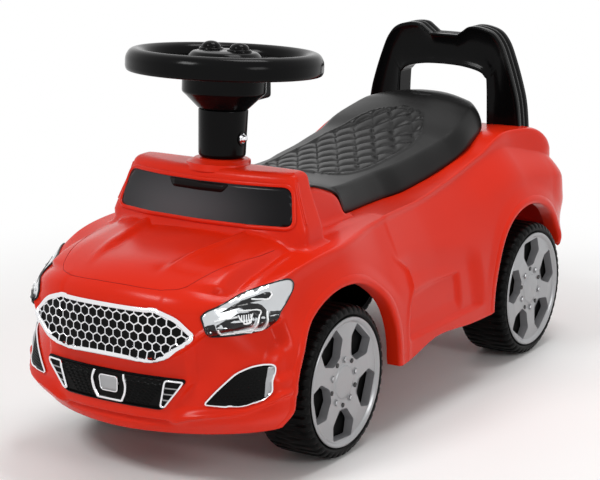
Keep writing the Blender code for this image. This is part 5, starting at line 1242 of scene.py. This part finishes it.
def shut_line(drop):
    """The fine line round the hood: a thin bead in a darker red, painted shade in place of a sunk groove."""
    whole = [*SHUT_LINE, (0.0, -0.3280), *scaled(reversed(SHUT_LINE), -1)]
    line = round_corners(whole, 0.012, closed=False)
    bead_piece("shut_line", GROOVE_SHADE_RED, drop, line, -0.0001, 0.00038, 6, closed=False)


# Seat: tables over the share of its length, with widths and slopes inwards and heights over the hood

SEAT_WIDTHS = keyed((0.0, 0), (0.13, 0), (0.18, 2.5), (0.26, 5), (0.33, 6.5), (0.38, 6.8), (0.46, 3),
                    (0.54, 1.2), (0.61, -0.5), (0.69, -2.2), (0.76, -3.5), (0.84, 1), (0.89, 6),
                    (0.93, 13.5), (0.955, 22), (0.98, 37.5), (1.0, 60))
SEAT_SLOPES = keyed((0.0, 6), (0.13, 10.5), (0.33, 14), (0.95, 14), (1.0, 9))
SEAT_HEIGHTS = keyed((0.0, 41, 43), (0.055, 35, 38.5), (0.13, 26.5, 30.5), (0.18, 22.5, 26.5),
                     (0.26, 20.3, 24.5), (0.33, 20.2, 24.3), (0.38, 20.7, 24.8), (0.46, 22.8, 26.8),
                     (0.54, 25.4, 29.8), (0.61, 29, 33.3), (0.69, 33.5, 38.5), (0.76, 42.1, 47.5),
                     (0.84, 51, 56.8), (0.89, 56, 62), (0.93, 57.5, 64.2), (0.955, 56.5, 63.7),
                     (0.98, 52, 58), (1.0, 45, 48))
SEAT_CREASES = [(share, crease) for share, crease, _ in SEAT_HEIGHTS]
SEAT_CROWNS = [(share, crown) for share, _, crown in SEAT_HEIGHTS]
SEAT_RIMS = keyed((0.0, 35.5), (0.03, 35.4), (0.096, 27.7), (0.139, 19.4), (0.164, 5.5), (0.176, -0.6),
                  (0.33, -3.9), (0.38, -3.6), (0.46, -0.9), (0.54, 2.5), (0.61, 7.1), (0.69, 13.1),
                  (0.76, 21.5), (0.84, 29.2), (0.89, 32.5), (0.955, 36), (1.0, 38))
SEAT_ROWS = 190
SEAT_ACROSS = 46
QUILT_FRONT = -0.040
QUILT_REAR = 0.168
QUILT_HALVES = ((QUILT_FRONT - 0.001, 0.020), (QUILT_FRONT + 0.004, 0.034), (QUILT_FRONT + 0.022, 0.0455),
                (0.03, 0.0500), (0.09, 0.0500), (0.125, 0.0440), (0.150, 0.0330),
                (QUILT_REAR - 0.004, 0.0180), (QUILT_REAR, 0.001))
QUILT_WIDTH = 0.023
QUILT_LENGTH = 0.036
QUILT_SINK = 0.0016
QUILT_RISE = 0.0023
SEAM_RISE = 0.0012
MARK_DEPTH = 0.0010
MARK_Y = 0.2055


def quilt(x, y):
    """Height of the diamond quilting, 0 in its seams and 1 on the pads."""
    height = 1.0
    knot = 0.0
    for value in (x / QUILT_WIDTH + y / QUILT_LENGTH, x / QUILT_WIDTH - y / QUILT_LENGTH):
        away = abs(2 * (value - math.floor(value)) - 1)
        height *= 1 - away ** 3.2
        knot += (1 - away) ** 2
    return height - 0.35 * math.exp(-knot / 0.02)


def seat_relief(x, y):
    """The quilted field with the raised seam round it, and the finger mark behind it."""
    deep = min(monotone(QUILT_HALVES, y) - abs(x), y - QUILT_FRONT, QUILT_REAR - y)
    pads = smoothstep(0.0002, 0.0022, deep) * quilt(x, y)
    sunk = smoothstep(0.0, 0.0016, deep)
    seam = hill(deep + 0.0010, 0.0013)
    mark = hill(y - MARK_Y, 0.0012) * falling(0.0090, 0.0105, abs(x - 0.001))
    return QUILT_RISE * pads - QUILT_SINK * sunk + SEAM_RISE * seam - MARK_DEPTH * mark


def seat_line(share, y, body_drop, shelf_drop):
    """Half a section of the seat, from its middle over its crease to its rim."""
    rim_half = SEAT_HALF_WIDTH - monotone(SEAT_WIDTHS, share)
    crease_half = rim_half - monotone(SEAT_SLOPES, share)
    crown, crease, rim = [HOOD_HEIGHT + monotone(keys, share)
                          for keys in (SEAT_CROWNS, SEAT_CREASES, SEAT_RIMS)]
    ground = body_drop(rim_half, y)[0].z
    if share < 0.2:
        ground = max(ground, shelf_drop(rim_half - 0.003, y)[0].z)
    rim = min(max(min(rim, crease - 0.002), ground + 0.0004), crease - 0.001)
    made = []
    for k in range(SEAT_ACROSS + 1):
        t = k / SEAT_ACROSS
        x = crease_half * t
        made.append((x, crown - (crown - crease) * t ** 2.4 + seat_relief(x, y)))
    for sine, cosine in quarter(12, 1):
        made.append((crease_half + (rim_half - crease_half) * sine ** 0.9,
                     crease - (crease - rim) * (1 - cosine) ** 0.62))
    return made


def seat_skin(body_drop, shelf_drop):
    """The seat lid, whose wall follows the body, and the beads along its hinge."""
    bm = bmesh.new()
    rows = []
    for i in range(SEAT_ROWS + 1):
        share = i / SEAT_ROWS
        share = share * 0.5 + 0.5 * (1 - (1 - share) ** 1.6)
        y = SEAT_HINGE_Y + SEAT_LENGTH * share
        half = seat_line(share, y, body_drop, shelf_drop)
        rows.append([bm.verts.new((x, y, z)) for x, z in mirrored_row(half)])
    grid_faces(bm, rows)
    notch = Vector((0.0, column_point(SCUTTLE_HEIGHT).y))

    def move(place):
        place.xy = notch + (place.xy - notch).normalized() * SEAT_NOTCH_RADIUS
    cut_hole(bm, {v for v in bm.verts if (v.co.xy - notch).length < SEAT_NOTCH_RADIUS}, move)
    drop_loose(bm)
    face_outwards(bm, lambda made: max(made.verts, key=lambda v: v.co.z).normal.z)
    solidify(piece("seat_skin", bm, SEAT, "seat", "seat_lid", angle=70.0, orient=False), 0.0022)
    bm = bmesh.new()
    radius = SEAT_BEAD_RADIUS
    for low, high in mm((-78.5, -54.5), (-45.5, -31), (31, 45.5), (54.5, 78.5)):
        end = high - low
        profile = [(0, 0.0019), (0, radius - 0.0006), (0.0006, radius), (end - 0.0006, radius),
                   (end, radius - 0.0006), (end, 0.0019)]
        revolve(bm, profile, (low, SEAT_HINGE_Y, SEAT_HINGE_Z), (1, 0, 0), 32)
    piece("seat_hinge_bead", bm, SEAT, "seat")


# Backrest: outlines from its top, its face from the outer to the inner edge, and the grooves of its side

BACKREST_OUTER = mm((92, -124.5), (88.5, -82), (82, -55), (72.5, -27.5), (66, -14), (57, -4.5), (43, 0),
                    (30, 0), (22, -5), (16, -9.5))
BACKREST_INNER = mm((53, -124.5), (51.5, -60), (49, -52), (42, -46.5), (22, -42.5), (0, -41.5))
BACKREST_FACE = keyed((0.0, 4), (0.0, 0), (0.045, 0), (0.10, 1), (0.16, 3), (0.5, 3.6), (0.84, 3), (0.90, 1),
                      (0.95, 0), (1.0, 0), (1.0, 4))
SIDE_GROOVES = ((0.0, 0.76), (0.035, 0.70), (0.035, 0.62), (0.0, 0.56), (0.0, 0.44), (0.035, 0.38),
                (0.035, 0.30), (0.0, 0.24))
BACKREST_STEPS = 84


def spline(points, steps=6):
    """A smooth open curve through 2-D points."""
    made = []
    extended = [points[0], *points, points[-1]]
    for knots in zip(extended, extended[1:], extended[2:], extended[3:]):
        a, b, c, d = [Vector(p) for p in knots]
        for k in range(steps):
            t = k / steps
            made.append(0.5 * (2 * b + (c - a) * t + (2 * a - 5 * b + 4 * c - d) * t * t
                               + (3 * b - a - 3 * c + d) * t ** 3))
    made.append(Vector(points[-1]))
    return made


def resample(points, count):
    """Points at equal steps along a line."""
    lengths = [0.0]
    for a, b in zip(points, points[1:]):
        lengths.append(lengths[-1] + (b - a).length)
    made = []
    for i in range(count + 1):
        want = lengths[-1] * i / count
        k = min(max(j for j, length in enumerate(lengths) if length <= want + 1e-9), len(points) - 2)
        t = (want - lengths[k]) / max(lengths[k + 1] - lengths[k], 1e-9)
        made.append(points[k].lerp(points[k + 1], t))
    return made


def backrest():
    """The arch behind the seat: a bar with a round edge, sunk faces and grooves down each side."""
    top = REST_HIGH.z - 0.0003
    outer = resample(spline(BACKREST_OUTER) + [Vector((0.0, -0.0095))], BACKREST_STEPS)
    pairs = list(zip(outer, resample(spline(BACKREST_INNER), BACKREST_STEPS)))
    bm = bmesh.new()
    rows = []
    for side, line in ((1, pairs), (-1, pairs[-2::-1])):
        for a, b in line:
            front = [(a.lerp(b, share), sink) for share, sink in BACKREST_FACE]
            back = [(spot, BACKREST_DEPTH - sink) for spot, sink in reversed(front)]
            grooves = [(a.lerp(b, share), BACKREST_DEPTH * along) for share, along in SIDE_GROOVES]
            rows.append([bm.verts.new((side * spot.x, REST_LOW.y + y, top + spot.y))
                         for spot, y in front + back + grooves])
    loft(bm, rows)
    bevel(piece("backrest_skin", bm, BLACK, node="backrest", angle=50.0), 0.0014, 3, 50.0)


# Steering

def turned(name, finish, profile, steps, origin, axis, body="steering", node=None):
    """A piece that is one turned solid."""
    bm = bmesh.new()
    revolve(bm, profile, origin, axis, steps)
    piece(name, bm, finish, body, node)


def steering_wheel():
    """The rim, the bowl of the hub and the three spokes."""
    outer = STEERING_WHEEL_RADIUS
    inner = outer - GRIP_WIDTH
    low, high = WHEEL_CENTRE_HEIGHT - GRIP_HEIGHT / 2, WHEEL_CENTRE_HEIGHT + GRIP_HEIGHT / 2
    rim = [(low, outer - 0.0015), (low + 0.003, outer), (high - 0.008, outer), (high - 0.002, outer - 0.0035),
           (high, outer - 0.0095), (high - 0.003, inner + 0.003), (high - 0.010, inner), (low, inner + 0.002)]
    bm = bmesh.new()
    on_column(bm, smooth_profile(rim, 0.0045, 6), 128)
    radius = HUB_BOWL_RADIUS
    bowl = [(BOWL_BOTTOM, 0.006), (BOWL_BOTTOM, SLEEVE_RADIUS + 0.0005),
            (BOWL_BOTTOM + 0.011, radius - 0.004), (BOWL_BOTTOM + 0.0145, radius), (HUB_TOP - 0.006, radius),
            (HUB_TOP - 0.006, radius - 0.0042), (HUB_TOP - 0.016, radius - 0.0042), (HUB_TOP - 0.016, 0.006)]
    on_column(bm, smooth_profile(bowl, 0.0016, 4), 96)
    place = Matrix.Translation(column_point(WHEEL_CENTRE_HEIGHT)) @ Matrix.Rotation(-COLUMN_TILT, 4, "X")
    for degrees in (0.0, 180.0, 90.0):
        turn = place @ Matrix.Rotation(math.radians(degrees), 4, "Z")
        rows = []
        for i in range(9):
            t = i / 8
            x = radius - 0.002 + (inner + 0.006 - radius) * t
            width = 0.0175 - 0.0022 * math.sin(math.pi * t)
            ring = [(-width, -0.006), (width, -0.006), (width, 0.001), (-width, 0.001)]
            rows.append([bm.verts.new(turn @ Vector((x, *p))) for p in round_corners(ring, 0.002, 3)])
        loft(bm, rows)
    piece("steering_wheel_skin", bm, BLACK, "steering", "steering_wheel", angle=45.0)


def hub():
    """The hub's plate and its two buttons, each in a ring."""
    top = HUB_TOP
    edge = HUB_BOWL_RADIUS - 0.0045
    cover = [(top - 0.0155, edge - 0.003), (top - 0.0155, edge), (top, edge), (top + 0.0042, edge - 0.004),
             (top + 0.0055, edge - 0.013), (top + 0.0060, 0.002), (top + 0.0030, 0.002),
             (top + 0.0030, edge - 0.007), (top, edge - 0.003)]
    bm = bmesh.new()
    on_column(bm, smooth_profile(cover, 0.0018, 4), 72)
    pin = [(top + 0.0030, 0.0), (top + 0.0030, 0.0024), (top + 0.0060, 0.0024), (top + 0.0061, 0.0)]
    on_column(bm, pin, 24)
    piece("hub_cover_skin", bm, BLACK, "steering", "hub_cover")
    radius = BUTTON_RADIUS
    dome = [(0.0075 + 0.0053 * sine, radius * cosine) for sine, cosine in quarter(8)[:-1]]
    cap = [(0.0048, 0.0), (0.0048, radius), *dome, (0.0128, 0.0)]
    ring = smooth_profile([(0.0040, radius + 0.0006), (0.0040, radius + 0.0030), (0.0068, radius + 0.0022),
                           (0.0072, radius + 0.0006)], 0.0007, 3)
    for side, word in ((1, "horn"), (-1, "tune")):
        centre = column_point(HUB_TOP) + Vector((side * BUTTON_X, 0, 0))
        body = f"{word}_button"
        turned(f"{word}_button_skin", BLACK, cap, 48, centre, COLUMN_AXIS, body, body)
        turned(f"{word}_button_ring", BLACK, ring, 48, centre, COLUMN_AXIS)


def column_pieces():
    """The sleeve, its nut on a seat ring, and the box under the hub's plate."""
    low, high = SLEEVE_BOTTOM, BOWL_BOTTOM - 0.0003
    sleeve = [(low, 0.0053), (low, SLEEVE_RADIUS - 0.0022), (low + 0.0025, SLEEVE_RADIUS - 0.0006),
              (high, SLEEVE_RADIUS + 0.0005), (high, 0.0053)]
    bm = bmesh.new()
    on_column(bm, smooth_profile(sleeve, 0.0012, 4), 96)
    piece("column_sleeve_skin", bm, BLACK, "steering", "column_sleeve")
    centre = column_point(BOLT_HEIGHT)
    base = SLEEVE_RADIUS - 0.0006
    ring = [(base, 0.0052), (base, 0.0070), (base + 0.0009, 0.0066), (base + 0.0009, 0.0052)]
    turned("nut_seat_ring", BLACK, smooth_profile(ring, 0.0003, 3), 40, centre, (1, 0, 0))
    dome = [(base + 0.0012 + 0.0034 * sine, 0.0037 * cosine) for sine, cosine in quarter(8)[:-1]]
    nut = [(base - 0.0030, 0.0), (base - 0.0030, 0.0048), (base + 0.0006, 0.0048), (base + 0.0012, 0.0041),
           *dome, (base + 0.0046, 0.0)]
    turned("cap_nut_skin", CHROME, nut, 32, centre, (1, 0, 0), node="cap_nut")
    low, high = corners("battery_box")
    inset = Vector((0.0004, 0.0004, 0.0004))
    bm = bmesh.new()
    add_box(bm, low + inset, high - inset)
    bevel(piece("battery_box_skin", bm, BLACK, "steering", "battery_box"), 0.0035, 4)


# Wheels

# Corners of a window of the wheel cover: share of the rim's radius, degrees from the window's middle
WINDOW = ((0.43, -14.0), (0.70, -25.5), (0.915, -16.5), (0.915, 16.5), (0.70, 25.5), (0.43, 14.0))
WINDOW_TURNS = {"front": 50.0, "rear": 21.0}
COVER = smooth_profile([(-0.0085, RIM_RADIUS - 0.0035), (-0.0085, RIM_RADIUS), (-0.0012, RIM_RADIUS),
                        (0.0, RIM_RADIUS - 0.0014), (-0.0008, RIM_RADIUS - 0.0034),
                        (-0.0030, RIM_RADIUS - 0.0052), (-0.0022, 0.040), (-0.0034, 0.0250),
                        (-0.0042, 0.0175), (-0.0038, 0.0150), (-0.0030, 0.0143), (-0.0026, 0.0),
                        (-0.0052, 0.0), (-0.0056, 0.019), (-0.0050, 0.050)],
                       0.0008, 3)
COVER_ANGLE = 32.0

# Small forms round the cover's middle: name, finish, radius, place from window to window, turned profiles
NUT_ROWS = (("wheel_nuts", SILVER, 0.0205, 0.5,
             ((mm((0, 0), (0, 2.6), (1.8, 2.6), (2.4, 2), (2.4, 0)), 6),
              (mm((0, 3), (0, 3.8), (0.9, 3.6), (1, 3.1)), 24))),
            # Dark discs between the nuts: painted shade in place of the cover's small holes.
            ("painted_hole_shades", DARK_PRINT_AND_SHADE, 0.0210, 0.0, ((mm((0, 0), (0, 2.2), (1.2, 2.2), (1.2, 0)), 20),)))


def tyre(side, name, y):
    """A tyre with lugs on its shoulders and fine cross grooves in its tread, and the wheel inside it."""
    width = TYRE_WIDTH - 0.001
    origin = Vector((side * (WHEEL_FACE_X - TYRE_WIDTH), y, AXLE_HEIGHT))
    wall = [(0.0012, RIM_RADIUS + 0.0010), (0.0, RIM_RADIUS + 0.0030), (0.0, TYRE_RADIUS - 0.0060),
            (0.0008, TYRE_RADIUS - 0.0034), (0.0024, TYRE_RADIUS - 0.0014), (0.0050, TYRE_RADIUS - 0.0003)]
    profile = wall + [(0.0050 + (width - 0.0100) * k / 8, TYRE_RADIUS) for k in range(1, 8)]
    profile += [(width - along, radius) for along, radius in reversed(wall)]
    profile += [(width, RIM_RADIUS + 0.0004), (width - 0.0100, RIM_RADIUS - 0.0002)]
    steps = LUG_COUNT * 6
    bm = bmesh.new()
    rows = []
    for along, radius in profile:
        across = along / width
        if radius < TYRE_RADIUS - 0.0045:
            groove = 0.0
        elif min(across, 1 - across) < 0.23:
            groove = 0.0018
        else:
            groove = 0.0009 if abs(across - 0.5) > 0.04 else 0.0
        ring = []
        for i in range(steps):
            turn = 2 * math.pi * i / steps
            phase = (i / 6 + (0.5 if across > 0.5 else 0.0)) % 1.0
            r = radius - (groove if phase < 0.26 else 0.0)
            ring.append(bm.verts.new(origin + Vector((side * along, r * math.cos(turn), r * math.sin(turn)))))
        rows.append(ring)
    grid_faces(bm, rows, wrap=True)
    floor = width - 0.011
    wheel = [(floor, RIM_RADIUS - 0.0003), (floor, 0.0043), (-0.0065, 0.0043), (-0.0065, 0.012),
             (floor - 0.004, 0.014), (floor - 0.004, RIM_RADIUS - 0.004), (0.0005, RIM_RADIUS - 0.0012),
             (0.0012, RIM_RADIUS + 0.0010), (width - 0.012, RIM_RADIUS - 0.0003)]
    revolve(bm, wheel, origin, (side, 0, 0), 72)
    piece(f"tyre_{name}", bm, TYRE, f"wheel_{name}", f"wheel_{name}", angle=30.0)


def window_turn(name, index):
    """The angle of a window's middle, from the car's rear upwards."""
    return 2 * math.pi * index / SPOKE_COUNT + math.radians(WINDOW_TURNS[name.split("_")[0]])


def window_outline(name, index):
    points = []
    for share, degrees in WINDOW:
        turn = math.radians(degrees) + window_turn(name, index)
        points.append((share * RIM_RADIUS * math.cos(turn), share * RIM_RADIUS * math.sin(turn)))
    return round_corners(points, 0.0022, 4)


def hubcap(side, name, y):
    """The wheel cover: five wide spokes, deep windows whose walls are in painted shade, a flat centre disc
    and a ring of nuts.
    """
    axis = Vector((side, 0, 0))
    body = f"wheel_{name}"
    origin = Vector((side * WHEEL_FACE_X, y, AXLE_HEIGHT))

    def at(a, b, depth):
        return origin + Vector((-side * depth, a, b))

    bm = bmesh.new()
    revolve(bm, COVER, origin, axis, 120)
    cover = piece(f"wheel_cover_{name}", bm, SILVER, body, f"hubcap_{name}", angle=COVER_ANGLE)
    outlines = [window_outline(name, index) for index in range(SPOKE_COUNT)]
    cutter = bmesh.new()
    for outline in outlines:
        prism(cutter, [at(*p, 0.02) for p in outline], axis * 0.03)
    bmesh.ops.recalc_face_normals(cutter, faces=cutter.faces)
    windows = built("windows", cutter)
    modify(cover, "BOOLEAN", operation="DIFFERENCE", object=windows)
    bpy.context.view_layer.objects.active = cover
    bpy.ops.object.modifier_apply(modifier="boolean")
    bpy.data.objects.remove(windows, do_unlink=True)
    soften(cover.data, COVER_ANGLE)
    walls = bmesh.new()
    for outline in outlines:
        middle = sum(outline, Vector((0, 0))) / len(outline)
        rows = [[walls.verts.new(at(*(middle + (p - middle) * share), depth)) for p in outline]
                for share, depth in keyed((1.010, 3.2), (0.985, 2.8), (0.930, 10.5), (1.0, 10.5))]
        grid_faces(walls, rows + rows[:1], wrap=True)
    # The windows' walls take the darker silver, painted shade inside the windows.
    piece(f"window_walls_{name}", walls, SHADED_SILVER, body)
    for word, finish, radius, offset, parts in NUT_ROWS:
        bm = bmesh.new()
        for index in range(SPOKE_COUNT):
            turn = window_turn(name, index + offset)
            centre = at(radius * math.cos(turn), radius * math.sin(turn), 0.0044)
            for profile, steps in parts:
                revolve(bm, profile, centre, axis, steps)
        piece(f"{word}_{name}", bm, finish, body)


# Stage

def floor_finish():
    """A pale floor that keeps the shadow near the car and fades to white away from it."""
    made = bpy.data.materials.new("floor_white")
    made.use_nodes = True
    tree = made.node_tree
    shader = tree.nodes["Principled BSDF"]
    fill(shader, Base_Color=(0.97, 0.965, 0.96, 1.0), Roughness=0.55)
    fade = distance_fade(tree, add(tree, "TexCoord").outputs["Object"], 0.34, 0.80)
    white = add(tree, "Emission", Strength=1.0)
    mixed(tree, fade, shader.outputs["BSDF"], white.outputs["Emission"],
          tree.nodes["Material Output"].inputs["Surface"])
    return made


def stage():
    """The floor, and a soft world that the camera and bright surfaces see as white."""
    bm = bmesh.new()
    bmesh.ops.create_circle(bm, cap_ends=True, segments=64, radius=6.0)
    floor = built("floor", bm)
    floor.data.materials.append(floor_finish())
    world = bpy.data.worlds.new("studio")
    bpy.context.scene.world = world
    world.use_nodes = True
    tree = world.node_tree
    soft = tree.nodes["Background"]
    fill(soft, Color=(1.0, 0.99, 0.98, 1.0), Strength=SOFT_LIGHT)
    white = add(tree, "Background", Color=(1.0, 1.0, 1.0, 1.0), Strength=1.0)
    rays = add(tree, "LightPath").outputs
    seen = rays["Is Camera Ray"]
    for kind in ("Is Glossy Ray", "Is Transmission Ray"):
        either = add(tree, "Math", seen)
        either.operation = "MAXIMUM"
        tree.links.new(rays[kind], either.inputs[1])
        seen = either.outputs["Value"]
    mixed(tree, seen, soft.outputs["Background"], white.outputs["Background"],
          tree.nodes["World Output"].inputs["Surface"])


def aim(made, place, direction):
    made.location = place
    made.rotation_mode = "QUATERNION"
    made.rotation_quaternion = direction.to_track_quat("-Z", "Y")


def lamp(name, place, target, size, watts):
    data = bpy.data.lights.new(name, "AREA")
    data.shape = "RECTANGLE"
    data.size, data.size_y = size
    data.energy = watts
    aim(placed(name, data), place, Vector(target) - Vector(place))


def camera():
    data = bpy.data.cameras.new("camera")
    data.lens = CAMERA_LENS
    made = placed("camera", data)
    level = math.cos(CAMERA_ELEVATION)
    aim(made, CAMERA_PLACE, Vector((-math.sin(CAMERA_AZIMUTH) * level, math.cos(CAMERA_AZIMUTH) * level,
                                    -math.sin(CAMERA_ELEVATION))))
    bpy.context.scene.camera = made


def finish_kept_nodes():
    for name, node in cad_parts.items():
        for spot in node.material_slots:
            spot.material = KEPT.get(name, STEEL)


def main():
    stage()
    camera()
    for facts in LAMPS:
        lamp(*facts)
    bpy.context.scene.view_settings.view_transform = "Standard"
    finish_kept_nodes()
    skin = body_skin()
    skin_tree = tree_of(skin)
    down = downwards(skin)
    front = backwards(skin)
    arch_lips(skin_tree)
    inner_frame()
    screen = backwards(hump_skin(down))
    pillar_beads()
    shelf_down = downwards(shelf_skin(down))
    collar()
    tower()
    hinge_lugs()
    upper_grille(front)
    lower_grille(front)
    for side, word in SIDES:
        side_vent(front, side, word)
        headlamp(lamp_caster(skin_tree, side), word)
    windscreen(screen)
    shut_line(down)
    seat_skin(down, shelf_down)
    backrest()
    steering_wheel()
    hub()
    column_pieces()
    for side, word in SIDES:
        for end, y in (("front", FRONT_AXLE_Y), ("rear", REAR_AXLE_Y)):
            tyre(side, f"{end}_{word}", y)
            hubcap(side, f"{end}_{word}", y)


main()
